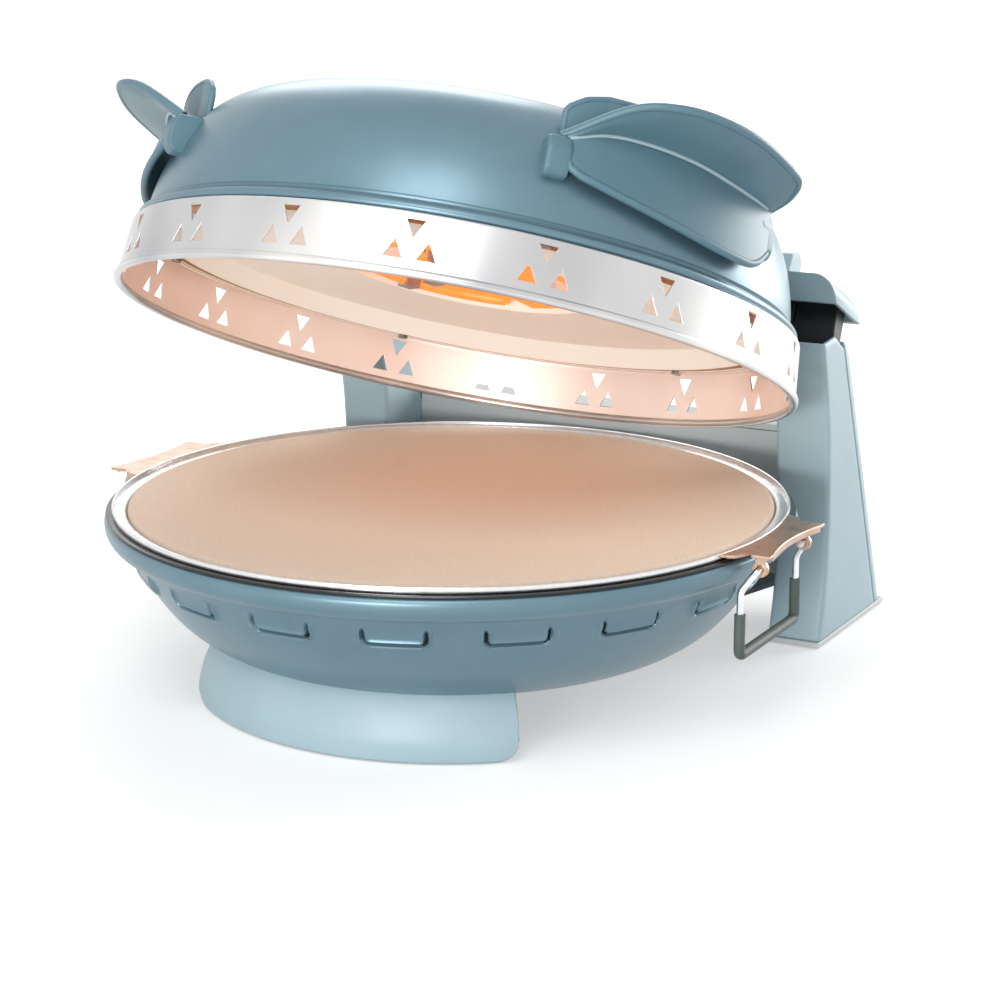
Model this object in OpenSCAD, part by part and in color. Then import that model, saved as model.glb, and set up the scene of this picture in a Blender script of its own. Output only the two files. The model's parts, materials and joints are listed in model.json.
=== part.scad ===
/* [Base] */
// Outer radius of the painted base rim, which the other radii follow
rim_r = 180; // [170:1:190]
// Height of the top of the painted base rim, which the heights above it follow
rim_z = 96; // [90:1:100]
// Y position of the bowl axis in the part's frame
bowl_y = -32.5; // [-40:0.5:0]
// Height of the flat underside of the bowl
bowl_floor_z = 26; // [22:1:30]
// Sheet thickness of the bowl and the dome
skin = 1.5; // [1:0.1:2]
// Wall thickness of the moulded housings
wall = 2.5; // [2:0.5:3]
// Number of triangle groups and of louvres round the body
groups = 18; // [12:1:24]
// Half of the angle that the front foot spans
foot_half = 43; // [35:1:50]

/* [Stone tray] */
// Distance from the rim's edge in to the tray ring's edge
tray_inset = 4; // [3:0.5:6]
// Distance from the tray ring's edge in to the stone
tray_lip = 8; // [6:0.5:10]
// Height of the tray ring's top edge above the rim
tray_rise = 4.7; // [3:0.1:7]
// Height of the stone's top above the rim
stone_rise = 3.7; // [0:0.1:6]
// Thickness of the baking stone
stone_t = 11.7; // [8:0.1:15]
// Sheet thickness of the pan, the tray ring and its brackets
tray_t = 1.2; // [0.8:0.1:2]
// Thickness of the saddle plates on the tray ring
saddle_t = 1.6; // [1.2:0.1:2]

/* [Bails] */
// Radius of the bail wire
wire_r = 1.75; // [1.5:0.05:2.5]
// Distance from the tray ring's edge out to the bail's pivot
bail_reach = 9.4; // [9:0.1:12]
// Drop of the pivot below the rim's top
pivot_drop = 4.4; // [4:0.1:6]
// Distance from the middle to the inner face of an ear
ear_y = 27; // [22:0.5:30]
// Half the distance between the two legs of a bail
bail_leg_y = 35.8; // [33:0.1:40]
// Inward step of the legs below the pivot
bail_step_x = 6.8; // [5:0.1:7]
// Drop of that step
bail_step_z = 10.1; // [8:0.1:14]
// Straight drop below the step
bail_drop = 32.5; // [25:0.5:40]
// Radius of the grip sleeve
sleeve_r = 2.75; // [2.2:0.05:4]
// Length of the grip sleeve's upright ends
sleeve_h = 21; // [15:0.5:25]

/* [Lid position] */
// Distance of the hinge axis behind the rim
hinge_back = 4; // [3:0.5:8]
// Height of the hinge axis above the rim
hinge_rise = 34; // [28:1:45]
// Height of the band's lower edge above the rim with the lid shut
lid_gap = 10; // [9:1:14]
// Angle at which the lid is shown open
lid_open = 22.7; // [0:0.1:90]

/* [Lid shell] */
// Distance from the rim's edge in to the band's lower edge
band_inset = 3; // [1:0.5:6]
// Taper of the band from its lower to its upper edge
band_taper = 2.5; // [1:0.5:4]
// Height of the steel band
band_h = 28; // [26:1:32]
// Sheet thickness of the band
band_t = 0.8; // [0.5:0.1:1.5]
// Radius of the rolled bead under the band
bead_r = 2.2; // [1.5:0.1:3]
// Half the width of a triangle cut through the band
tri_half = 4.5; // [3:0.1:5]
// Height of the recess in the ceiling for the upper heater
recess_h = 8; // [7:0.5:10]

/* [Heaters] */
// Radius of the heater tubes
tube_r = 3.2; // [3:0.1:3.5]
// Radius of the inner lower loop
low_loop_in = 70; // [60:1:80]
// Radius of the outer lower loop
low_loop_out = 120; // [110:1:125]
// Radius of the inner upper loop
top_loop_in = 34; // [28:1:40]
// Radius of the outer upper loop
top_loop_out = 60; // [55:1:64]

/* [Pillars] */
// X of the inner face of a pillar
pillar_in_x = 124; // [120:1:130]
// Width of a pillar
pillar_w = 31; // [29:1:36]
// Height of a pillar's top above the hinge axis
pillar_rise = 42; // [38:1:46]
// Backward lean of the rear cover, degrees
lean = 22.1; // [18:0.1:26]
// Distance from the hinge axis forward to the seam, square to the lean
seam_front = 8.39; // [5:0.01:12]
// Radius of the rear cover's outer corner
cover_r = 26; // [20:1:30]
// Distance from the hinge axis back to the rearmost point of the feet
foot_back = 61; // [50:1:66]
// Depth of the bridge between the pillars
bridge_w = 22; // [18:1:26]

/* [Hinge] */
// Radius of the hinge pins
pin_r = 4; // [3:0.5:6]
// Radial running clearance of the hinge pins and bail wires
run_gap = 0.05; // [0.02:0.01:0.1]
// Distance from the pillar's inner face to the hinge lug
lug_inset = 7; // [6.5:0.5:9]
// Width of the hinge lug
lug_w = 10; // [8:0.5:12]
// Radius of the hub round the hinge pin
hub_r = 9.5; // [8:0.5:11]
// Thickness of the hinge bracket's cheeks
cheek_t = 3; // [2:0.5:4]
// Gap between the hinge lug and each washer
washer_gap = 0.3; // [0.1:0.1:0.5]

/* [Thermostat] */
// Distance of the thermostat shaft in front of the hinge axis
knob_front = 12; // [5:1:16]
// Height of the thermostat shaft
knob_z = 48; // [40:1:60]
// Radius of the thermostat shaft
shaft_r = 3; // [2:0.5:4]
// Radius of the thermostat knob
knob_r = 17; // [12:0.5:20]

/* [Screws] */
// Radius of the machine screws
screw_r = 2; // [1.5:0.5:3]
// Radial clearance of the screw holes
hole_gap = 0.1; // [0.05:0.05:0.3]

/* [Hidden] */
$fn = 96;
paint = [0.42, 0.56, 0.62];
pale_paint = [0.6, 0.72, 0.75];
steel = [0.82, 0.82, 0.82];
dark = [0.12, 0.13, 0.14];
pale = [0.78, 0.8, 0.8];
brass = [0.75, 0.6, 0.3];
pitch = 360 / groups;

tray_r = rim_r - tray_inset;
stone_r = tray_r - tray_lip;
tray_top_z = rim_z + tray_rise;
stone_top_z = rim_z + stone_rise;
stone_low_z = stone_top_z - stone_t;
stone_gap = 0.2;
saddle_z = tray_top_z - 0.2 - saddle_t;
bail_x = tray_r + bail_reach;
bail_z = rim_z - pivot_drop;
ear_t = 2;
leg_x = bail_x - bail_step_x;
bend_z = bail_z - bail_step_z;
bar_z = bend_z - bail_drop;

hinge_y = rim_r + hinge_back;
hinge_z = rim_z + hinge_rise;
lid_z = rim_z + lid_gap;
band_low_r = rim_r - band_inset;
band_high_r = band_low_r - band_taper;
bead_z = -0.8;
bead_mid_r = band_low_r - 0.7;
ring_screw_r = band_high_r - 9;
ceiling_z = band_h + 7;
recess_z = ceiling_z + recess_h;
recess_r = top_loop_out + 10;
upper_element_z = recess_z - tube_r - 1.3;
upper_loops = [top_loop_in, top_loop_out];
lower_loops = [low_loop_in, low_loop_out];

pan_floor_z = rim_z - 27;
element_z = pan_floor_z + 9;
shield_z = bowl_floor_z + 34;
louvre_z = rim_z - 23;
carrier_z = bowl_floor_z - 3;

plate_z = 3.8;
pad_r = 8;
pillar_out_x = pillar_in_x + pillar_w;
pillar_mid_x = (pillar_in_x + pillar_out_x) / 2;
pillar_top_z = hinge_z + pillar_rise;
lean_s = sin(lean);
lean_c = cos(lean);
seam_n = hinge_y * lean_c + hinge_z * lean_s - seam_front;
foot_back_y = hinge_y + foot_back;
bridge_top_z = hinge_z - 21;
cap_gap = 0.4;
lug_in_x = pillar_in_x + lug_inset;
lug_out_x = lug_in_x + lug_w;
cheek_in = lug_in_x - 1 - cheek_t;
cheek_out = lug_out_x + 1;
knob_y = hinge_y - knob_front;
lamp_z = knob_z + 28;
cap_in = pillar_in_x + 4;
cap_out = pillar_out_x + 2.5;
cap_round = 10;
cap_t = 2;

lead_angles = [90, 98];
clip_angles = [30, 150, 270];
spacer_angles = [45:90:315];
ring_screw_angles = [10:60:310];
foot_screw_angles = [-30, 0, 30];
foot_boss_angles = [-30, 30];
foot_pad_r = rim_r - 65;
foot_screw_r = rim_r - 81;
carrier_screw_spots = [[-55, 40], [55, 40], [-55, 75], [55, 75]];
bridge_screw_spots = [[24 - pillar_in_x, hinge_y + bridge_w / 2], [pillar_in_x - 24, hinge_y + bridge_w / 2]];
pad_spots = [hinge_y - 29, hinge_y + 44];
// Angle and height of the screws that hold the arms and the handles from inside the dome
side_screws = [
    [-50.5, band_h + 40],
    [-6.5, band_h + 38],
    [46, band_h + 45.5],
    [52, band_h + 45.5]
];
handle_turn = 62;

// Points given by their distance inside the rim and below its top
function from_rim(points) = [for (p = points) [rim_r - p[0], rim_z - p[1]]];

// Points given by their distance inside the band's upper edge and above it
function from_band(points) = [for (p = points) [band_high_r - p[0], band_h + p[1]]];

// Points given by side distance and height above the band's upper edge
function over_band(points) = [for (p = points) [p[0], band_h + p[1]]];

function moved(points, dx, dy) = [for (p = points) [p[0] + dx, p[1] + dy]];

// Outline of the painted bowl from the axis out to the rim
bowl_points = concat(
    [[rim_r - 76, bowl_floor_z], [rim_r - 68, bowl_floor_z + 1.8]],
    from_rim([
        [57.4, 65.2],
        [50.3, 62.2],
        [44.9, 59],
        [40.3, 55.7],
        [36.4, 52.3],
        [32.8, 48.6],
        [29.4, 44.7],
        [26.2, 40.4],
        [23, 35.7],
        [19.6, 30.3],
        [15.7, 23.6],
        [12, 16.5],
        [9.8, 13.5],
        [6, 12],
        [2.5, 9.5],
        [0.4, 6],
        [0, 2],
        [1, 0]
    ]));

// Outline of the dome from the lip above the band to the crown
dome_points = from_band([
    [3, 0],
    [2, 2],
    [2, 5],
    [3.5, 7.5],
    [6, 8.5],
    [6.7, 10],
    [8.3, 20],
    [10.4, 29],
    [13.4, 37.7],
    [16.3, 44.3],
    [19.4, 50],
    [22.7, 55],
    [26.5, 59.5],
    [30.8, 63.6],
    [36.1, 67.4],
    [43.1, 71],
    [54, 74.5],
    [74.5, 76.6],
    [114.5, 77.7]
]);
dome_top = band_h + 78;

// Front edge of a pillar: distance in front of the hinge axis at each share of its height
pillar_front = [
    [47, 0],
    [41, 0.156],
    [39, 0.334],
    [40, 0.5125],
    [42.5, 0.679],
    [48, 0.8454],
    [55, 1]
];

module on_base() translate([0, bowl_y, 0]) children();

module on_lid()
    on_base()
    translate([0, hinge_y, hinge_z])
    rotate([-lid_open, 0, 0])
    translate([0, -hinge_y, lid_z - hinge_z])
    children();

module both_sides() {
    children();
    mirror([1, 0, 0]) children();
}

// Extrudes a Y-Z outline from one X to another
module across(x0, x1)
    translate([x0, 0, 0])
    rotate([90, 0, 90])
    linear_extrude(x1 - x0)
    children();

// Cylinder along X through a Y-Z point
module x_rod(x0, x1, y, z, r, sides = $fn)
    translate([x0, y, z])
    rotate([0, 90, 0])
    cylinder(r = r, h = x1 - x0, $fn = sides);

// Straight rod between two points
module rod(a, b, r) {
    d = b - a;
    translate(a)
    rotate([0, acos(d[2] / norm(d)), atan2(d[1], d[0])])
    cylinder(r = r, h = norm(d), $fn = 32);
}

// Ball that joins two rods at a bend
module bend(a, r) translate(a) sphere(r = r + 0.12, $fn = 32);

// Upright cylinder for screws and bosses
module post(x, y, z, r, h) translate([x, y, z]) cylinder(r = r, h = h, $fn = 32);

module lathe(points) rotate_extrude($fn = 180) polygon(points);

// Screw holes through the bowl's floor and the plate under it
module floor_holes(spots)
    for (p = spots) post(p[0], p[1], carrier_z - 3, screw_r + hole_gap, 12);

module foot_screw_holes()
    for (a = foot_screw_angles)
        rotate([0, 0, a]) post(0, -foot_screw_r, carrier_z - 3, screw_r + hole_gap, 12);

module bowl_solid() lathe(concat([[0, bowl_floor_z]], bowl_points, [[0, rim_z]]));

module bowl_hollow()
    lathe(concat(
        [[0, bowl_floor_z + skin]],
        moved(bowl_points, -skin, skin),
        [[rim_r - 2.5, rim_z + 5], [0, rim_z + 5]]));

module dome_solid() lathe(concat([[0, band_h]], dome_points, [[0, dome_top]]));

module dome_hollow()
    lathe(concat(
        [[0, band_h - 5], [band_high_r - 3 - skin, band_h - 5]],
        moved(dome_points, -skin, -skin),
        [[0, dome_top - skin]]));

// U-shaped slot of a louvre
module louvre()
    translate([0, 15 - rim_r, louvre_z]) {
        translate([0, 0, -3.5]) cube([31, 40, 3], center = true);
        for (x = [-14, 14]) translate([x, 0, -1]) cube([3, 40, 8], center = true);
    }

module base_shell()
    color(paint) on_base()
    difference() {
        bowl_solid();
        bowl_hollow();
        for (i = [0:groups - 1]) rotate([0, 0, i * pitch]) louvre();
        floor_holes(carrier_screw_spots);
        foot_screw_holes();
    }

module oven_pan()
    color(dark) on_base()
    difference() {
        lathe(concat(
            [[0, pan_floor_z]],
            from_rim([
                [32, 27],
                [23, 22],
                [17.5, 16.5],
                [13.7, 12.8],
                [10.6, 11.05],
                [8.9, 10.3],
                [8.9, 0],
                [0.7, 0],
                [0.7, -tray_t],
                [10.1, -tray_t],
                [10.1, 9.4],
                [11.1, 9.85],
                [14.3, 11.6],
                [18.4, 15.6],
                [23.7, 20.9],
                [32.4, 27 - tray_t]
            ]),
            [[0, pan_floor_z + tray_t]]));
        for (a = lead_angles)
            rotate([0, 0, a]) x_rod(rim_r - 40, rim_r - 5, 0, element_z, tube_r + hole_gap);
    }

// Open loops of heater tube, with a gap at the back for the leads
module heater_loops(loops)
    for (r = loops)
        rotate([0, 0, lead_angles[1]])
        rotate_extrude(angle = 344, $fn = 120)
        translate([r, 0])
        circle(r = tube_r, $fn = 32);

// Whole rings of the tube's size, which seat the loops in their clips
module heater_seats(loops)
    for (r = loops)
        rotate_extrude($fn = 120)
        translate([r, 0])
        circle(r = tube_r, $fn = 32);

// Link between the loops on the far side of the gap
module heater_link(loops)
    rotate([0, 0, lead_angles[0] - 8]) rod([loops[0] - 3, 0, 0], [loops[1] + 3, 0, 0], tube_r - 0.3);

// Two loops of sheathed tube in the pan, with both leads out through the pan at the back
module lower_heating_element() {
    inner_lead = low_loop_in + 25;
    turn = [inner_lead * cos(lead_angles[1]), inner_lead * sin(lead_angles[1]), 0];
    color(steel) on_base() translate([0, 0, element_z]) {
        heater_loops(lower_loops);
        heater_link(lower_loops);
        rotate([0, 0, lead_angles[1]]) {
            rod([low_loop_out - 3, 0, 0], [rim_r - 16, 0, 0], tube_r - 0.3);
            rod([low_loop_in - 3, 0, 0], [inner_lead, 0, 0], tube_r - 0.3);
        }
        rod(turn, [0, inner_lead + 8, 0], tube_r - 0.6);
        rod([0, inner_lead + 6, 0], [0, rim_r - 16, 0], tube_r - 0.3);
        translate(turn) sphere(r = tube_r, $fn = 32);
    }
}

module lower_element_clips() {
    clip_z = pan_floor_z + tray_t;
    color(steel) on_base()
    difference() {
        for (a = clip_angles)
            for (r = lower_loops)
                rotate([0, 0, a]) translate([r - 6, -4, clip_z]) cube([12, 8, element_z - clip_z]);
        translate([0, 0, element_z]) heater_seats(lower_loops);
    }
}

module thermostat_probe() {
    probe_z = pan_floor_z + 15;
    clip_z = pan_floor_z + tray_t;
    color(steel) on_base() {
        translate([30, -20, probe_z]) rotate([90, 0, 0]) cylinder(r = 2.5, h = 60, $fn = 32);
        for (y = [-75, -30]) translate([28, y, clip_z]) cube([4, 3, probe_z - clip_z - 1.3]);
    }
}

module base_heat_shield()
    color(steel) on_base()
    difference() {
        translate([0, 0, shield_z]) cylinder(r = rim_r - 40, h = 1);
        for (a = spacer_angles) rotate([0, 0, a]) post(90, 0, shield_z - 5, screw_r + hole_gap, 10);
    }

module shield_spacers()
    color(dark) on_base()
    for (a = spacer_angles)
        rotate([0, 0, a]) {
            post(90, 0, bowl_floor_z + skin, 5, shield_z - bowl_floor_z - skin);
            post(90, 0, shield_z, screw_r, 1);
            post(90, 0, shield_z + 1, 5, pan_floor_z - shield_z - 1);
        }

module pizza_stone()
    color([0.86, 0.77, 0.66]) on_base()
    lathe([
        [0, stone_low_z],
        [stone_r - 2, stone_low_z],
        [stone_r, stone_low_z + 2],
        [stone_r, stone_top_z - 2],
        [stone_r - 2, stone_top_z],
        [0, stone_top_z]
    ]);

module tray_ring()
    color(steel) on_base()
    lathe([
        [stone_r - 6, stone_low_z - tray_t],
        [stone_r + stone_gap + tray_t, stone_low_z - tray_t],
        [stone_r + stone_gap + tray_t, rim_z + tray_t],
        [tray_r, rim_z + tray_t],
        [tray_r, tray_top_z],
        [tray_r - tray_t, tray_top_z],
        [tray_r - tray_t, rim_z + 2 * tray_t],
        [stone_r + stone_gap, rim_z + 2 * tray_t],
        [stone_r + stone_gap, stone_low_z],
        [stone_r - 6, stone_low_z]
    ]);

// Saddle plate against the tray ring, with a turned-down outer lip and two ears for the bail
module tray_bracket() {
    plate_x = 17.4;
    lip_x = tray_r + 13.4;
    lip_r = 130;
    half = [[-16, 43], [-2, 43], [1.5, 41.5], [5, 34.5], [7.5, 36], [plate_x, 36]];
    outline = concat([for (p = half) [p[0], -p[1]]], [for (i = [5:-1:0]) half[i]]);
    translate([0, 0, saddle_z])
    linear_extrude(saddle_t)
    difference() {
        translate([tray_r, 0]) polygon(outline);
        circle(r = tray_r, $fn = 180);
        translate([lip_x + lip_r, 0]) circle(r = lip_r);
    }
    translate([0, 0, saddle_z - 2])
    linear_extrude(2.4)
    difference() {
        intersection() {
            translate([lip_x - 1.2, -31]) square([12, 62]);
            translate([lip_x + lip_r, 0]) circle(r = lip_r + 1.2);
        }
        translate([lip_x + lip_r, 0]) circle(r = lip_r);
    }
    for (s = [-1, 1])
        scale([1, s, 1])
        difference() {
            union() {
                translate([bail_x, ear_y, bail_z]) rotate([-90, 0, 0]) cylinder(r = 4.2, h = ear_t);
                translate([bail_x - 2.9, ear_y, bail_z]) cube([5.8, ear_t, saddle_z - bail_z + 0.4]);
            }
            translate([bail_x, ear_y - 1, bail_z]) rotate([-90, 0, 0]) cylinder(r = wire_r + run_gap, h = 4);
        }
}

module tray_bracket_right() color(steel) on_base() tray_bracket();
module tray_bracket_left() color(steel) on_base() mirror([1, 0, 0]) tray_bracket();

module bail() {
    knee_y = ear_y + ear_t + wire_r + 0.5;
    for (s = [-1, 1]) {
        rod([bail_x, s * (ear_y - 3), bail_z], [bail_x, s * knee_y, bail_z], wire_r);
        rod([bail_x, s * knee_y, bail_z], [leg_x, s * bail_leg_y, bend_z], wire_r);
        rod([leg_x, s * bail_leg_y, bend_z], [leg_x, s * bail_leg_y, bar_z], wire_r);
        bend([bail_x, s * knee_y, bail_z], wire_r);
        bend([leg_x, s * bail_leg_y, bend_z], wire_r);
        bend([leg_x, s * bail_leg_y, bar_z], wire_r);
    }
    rod([leg_x, -bail_leg_y, bar_z], [leg_x, bail_leg_y, bar_z], wire_r);
}

module bail_grip()
    difference() {
        union() {
            for (s = [-1, 1])
                translate([leg_x, s * bail_leg_y, bar_z]) {
                    cylinder(r = sleeve_r, h = sleeve_h, $fn = 32);
                    sphere(r = sleeve_r, $fn = 32);
                }
            translate([leg_x, -bail_leg_y, bar_z])
            rotate([-90, 0, 0])
            cylinder(r = sleeve_r, h = 2 * bail_leg_y, $fn = 32);
        }
        bail();
    }

module bail_right() color(steel) on_base() bail();
module bail_left() color(steel) on_base() mirror([1, 0, 0]) bail();
module bail_grip_right() color(dark) on_base() bail_grip();
module bail_grip_left() color(dark) on_base() mirror([1, 0, 0]) bail_grip();

// Curved apron under the front of the bowl, with a flange and two bosses behind it
module front_foot() {
    corner_r = 10;
    low_z = 0.8;
    color(pale_paint) on_base()
    difference() {
        union() {
            rotate([0, 0, -90 - foot_half])
            rotate_extrude(angle = 2 * foot_half, $fn = 180)
            polygon([
                [rim_r - 85, carrier_z],
                [rim_r - 52, carrier_z],
                [rim_r - 46.5, 14],
                [rim_r - 46.5, 6],
                [rim_r - 49, low_z],
                [rim_r - 46, low_z],
                [rim_r - 43.5, 5],
                [rim_r - 43, 12],
                [rim_r - 46, bowl_floor_z - 2],
                [rim_r - 50.5, bowl_floor_z + 8],
                [rim_r - 54, bowl_floor_z + 8],
                [rim_r - 54, bowl_floor_z],
                [rim_r - 85, bowl_floor_z]
            ]);
            for (a = foot_boss_angles)
                rotate([0, 0, a]) translate([0, -foot_pad_r, 5]) cylinder(r = 10, h = carrier_z - 4);
        }
        bowl_solid();
        for (s = [-1, 1])
            rotate([0, 0, s * foot_half])
            translate([0, 30 - rim_r, 0])
            rotate([-90, 0, 0])
            linear_extrude(30)
            difference() {
                translate([-12, -low_z - corner_r - 0.2]) square([24, 12]);
                translate([-s * corner_r, -low_z - corner_r]) circle(r = corner_r);
                translate([-s * (12 + corner_r), -6]) square([24, 20], center = true);
            }
        foot_screw_holes();
    }
}

module foot_pads()
    color(dark) on_base() {
        for (a = foot_boss_angles) rotate([0, 0, a]) translate([0, -foot_pad_r, 0]) cylinder(r = pad_r, h = 5);
        both_sides() for (y = pad_spots) translate([pillar_mid_x, y, 0]) cylinder(r = pad_r, h = 2);
    }

module bottom_screw(x, y) {
    post(x, y, carrier_z - 2, 3.8, 2);
    post(x, y, carrier_z - 2, screw_r, 10);
}

module bottom_screws()
    color(steel) on_base() {
        for (p = concat(carrier_screw_spots, bridge_screw_spots)) bottom_screw(p[0], p[1]);
        for (a = foot_screw_angles) rotate([0, 0, a]) bottom_screw(0, -foot_screw_r);
    }

module carrier_plate() {
    side_x = pillar_in_x - 6;
    color(steel) on_base()
    difference() {
        translate([0, 0, carrier_z])
        linear_extrude(bowl_floor_z - carrier_z)
        polygon([
            [-75, 25],
            [75, 25],
            [side_x, hinge_y - 4],
            [side_x, hinge_y + bridge_w],
            [-side_x, hinge_y + bridge_w],
            [-side_x, hinge_y - 4]
        ]);
        floor_holes(concat(carrier_screw_spots, bridge_screw_spots));
    }
}

// Hollow box between the pillars that carries the mains wiring
module rear_bridge() {
    inside_x = pillar_in_x - wall;
    color(pale) on_base()
    difference() {
        translate([-pillar_in_x, hinge_y, bowl_floor_z])
        cube([2 * pillar_in_x, bridge_w, bridge_top_z - bowl_floor_z]);
        translate([-inside_x, hinge_y + wall, bowl_floor_z + wall])
        cube([2 * inside_x, bridge_w - 2 * wall, bridge_top_z - bowl_floor_z]);
        translate([-14, hinge_y + bridge_w - 6, 50]) cube([28, 10, 20]);
        floor_holes(bridge_screw_spots);
    }
}

module bridge_cap() {
    inside_x = pillar_in_x - wall;
    rib_t = 1.5;
    rib_z = bridge_top_z - 4;
    cap_z = bridge_top_z + cap_gap;
    color(pale) on_base() {
        translate([-pillar_in_x, hinge_y, cap_z]) cube([2 * pillar_in_x, bridge_w, 3.6]);
        for (y = [wall, bridge_w - wall - rib_t])
            translate([-inside_x, hinge_y + y, rib_z]) cube([2 * inside_x, rib_t, cap_z - rib_z]);
        translate([-pillar_in_x, hinge_y + 2, bridge_top_z]) cube([2 * pillar_in_x, bridge_w - 4, cap_gap]);
    }
}

module terminal_block()
    color([0.9, 0.88, 0.8]) on_base()
    difference() {
        translate([-60, hinge_y + 3, bowl_floor_z + wall]) cube([40, 14, 16]);
        for (x = [-55:10:-25]) post(x, hinge_y + 10, bowl_floor_z + 12, 2.5, 10);
    }

module power_inlet()
    color(dark) on_base()
    difference() {
        translate([-14, hinge_y + bridge_w - 16, 50]) cube([28, 16, 20]);
        translate([-12, hinge_y + bridge_w - 13, 52]) cube([24, 20, 16]);
    }

module inlet_pins()
    color(brass) on_base()
    for (p = [[-7, 58], [7, 58], [0, 63]])
        translate([p[0] - 1, hinge_y + bridge_w - 13, p[1] - 2]) cube([2, 11, 4]);

// Y of the leaning line at a height, for a distance from the bowl axis square to the lean
function lean_y(n, z) = (n - lean_s * z) / lean_c;

// Side outline of a pillar from the front edge back to the leaning rear line
module pillar_side(front, low, top, n) {
    height = pillar_top_z - plate_z;
    polygon(concat(
        [[hinge_y - pillar_front[0][0] + front, low]],
        [for (i = [1:5]) [hinge_y - pillar_front[i][0] + front, plate_z + pillar_front[i][1] * height]],
        [
            [hinge_y - pillar_front[6][0] + front, pillar_top_z + top],
            [hinge_y - 31, pillar_top_z - 1 + top],
            [hinge_y - 24, pillar_top_z - 7 + top],
            [lean_y(n, pillar_top_z - 7), pillar_top_z - 7 + top],
            [lean_y(n, low), low]
        ]));
}

module pillar_shell()
    difference() {
        across(pillar_in_x, pillar_out_x) pillar_side(0, plate_z, 0, seam_n);
        across(pillar_in_x + wall, pillar_out_x - wall) pillar_side(wall, plate_z + wall, 12, seam_n + 40);
        translate([pillar_in_x - 1, hinge_y - 74, pillar_top_z - 14]) cube([11, 60, 30]);
        translate([pillar_in_x - 1, hinge_y + wall, 60]) cube([wall + 2, 8, 30]);
    }

// Leaning column with a rounded outer corner, cut to the pillar's top and foot
module cover_column(inset)
    intersection() {
        rotate([lean, 0, 0])
        translate([0, 0, -120])
        linear_extrude(400)
        polygon(concat(
            [[pillar_in_x + inset, seam_n - 30], [pillar_out_x - inset, seam_n - 30]],
            [for (a = [0:7.5:90]) [
                pillar_out_x - cover_r + (cover_r - inset) * cos(a),
                seam_n + (cover_r - inset) * sin(a)
            ]],
            [[pillar_in_x + inset, seam_n + cover_r - inset]]));
        across(pillar_in_x + inset, pillar_out_x - inset)
        polygon([
            [hinge_y - 34, plate_z + inset],
            [foot_back_y - 4 - inset, plate_z + inset],
            [foot_back_y - inset, 9],
            [foot_back_y - inset, 40],
            [hinge_y + 19 + inset, hinge_z + 1 + 4 * inset],
            [hinge_y - 23, pillar_top_z - 3 + 4 * inset],
            [hinge_y - 34, pillar_top_z - 3 + 4 * inset]
        ]);
    }

module rear_cover()
    difference() {
        cover_column(0);
        cover_column(wall);
        across(pillar_in_x - 1, pillar_out_x + 1)
        polygon([
            [0, -50],
            [lean_y(seam_n, -50), -50],
            [lean_y(seam_n, 250), 250],
            [0, 250]
        ]);
        translate([lug_in_x - 1.5, hinge_y + 2, hinge_z - 3]) cube([lug_w + 3, 18, 20]);
    }

module pillar_right() color(pale_paint) on_base() pillar_shell();
module pillar_left()
    color(pale_paint) on_base()
    difference() {
        mirror([1, 0, 0]) pillar_shell();
        x_rod(-pillar_out_x - 1, -pillar_out_x + wall + 1, knob_y, knob_z, shaft_r + 1);
        x_rod(-pillar_out_x - 1, -pillar_out_x + wall + 1, knob_y, lamp_z, 2.5);
    }
module rear_cover_right() color(pale_paint) on_base() rear_cover();
module rear_cover_left() color(pale_paint) on_base() mirror([1, 0, 0]) rear_cover();

module pillar_foot()
    difference() {
        translate([pillar_in_x, hinge_y - 48, 0.8])
        cube([pillar_w, foot_back_y - 4 - hinge_y + 48, plate_z - 0.8]);
        for (y = pad_spots) translate([pillar_mid_x, y, 0]) cylinder(r = pad_r, h = 2);
    }

module pillar_foot_right() color(pale) on_base() pillar_foot();
module pillar_foot_left() color(pale) on_base() mirror([1, 0, 0]) pillar_foot();

// Steel fork inside a pillar that holds the hinge pin
module hinge_fork()
    translate([0, hinge_y, hinge_z])
    difference() {
        union() {
            for (x = [cheek_in, cheek_out])
                across(x, x + cheek_t) {
                    polygon([[-19, -60], [11, -60], [6, -2], [-7, -2]]);
                    circle(r = pin_r + 3.5);
                    translate([-7, -8]) square([13.5, 7]);
                }
            across(cheek_in, cheek_out + cheek_t) translate([-19, -60]) square([30, 3]);
            across(pillar_in_x + wall, cheek_in) translate([-19, -60]) square([25, 24]);
        }
        x_rod(cheek_in - 1, cheek_out + cheek_t + 1, 0, 0, pin_r);
    }

module hinge_fork_right() color(steel) on_base() hinge_fork();
module hinge_fork_left() color(steel) on_base() mirror([1, 0, 0]) hinge_fork();

module hinge_pins()
    color(steel) on_base()
    both_sides() {
        x_rod(pillar_in_x + wall, cheek_out + cheek_t, hinge_y, hinge_z, pin_r);
        x_rod(cheek_out + cheek_t, cheek_out + cheek_t + 1.5, hinge_y, hinge_z, pin_r + 1.5);
    }

module friction_washers()
    color(steel) on_base()
    both_sides()
    difference() {
        union() {
            x_rod(lug_in_x - 1, lug_in_x - washer_gap, hinge_y, hinge_z, 7);
            x_rod(lug_out_x + washer_gap, lug_out_x + 1, hinge_y, hinge_z, 7);
        }
        x_rod(lug_in_x - 2, lug_out_x + 2, hinge_y, hinge_z, pin_r);
    }

module hinge_bushes()
    color(brass)
    on_lid() translate([0, 0, -lid_z])
    both_sides()
    difference() {
        x_rod(lug_in_x, lug_out_x, hinge_y, hinge_z, pin_r + 2);
        x_rod(lug_in_x - 1, lug_out_x + 1, hinge_y, hinge_z, pin_r + run_gap);
    }

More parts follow.
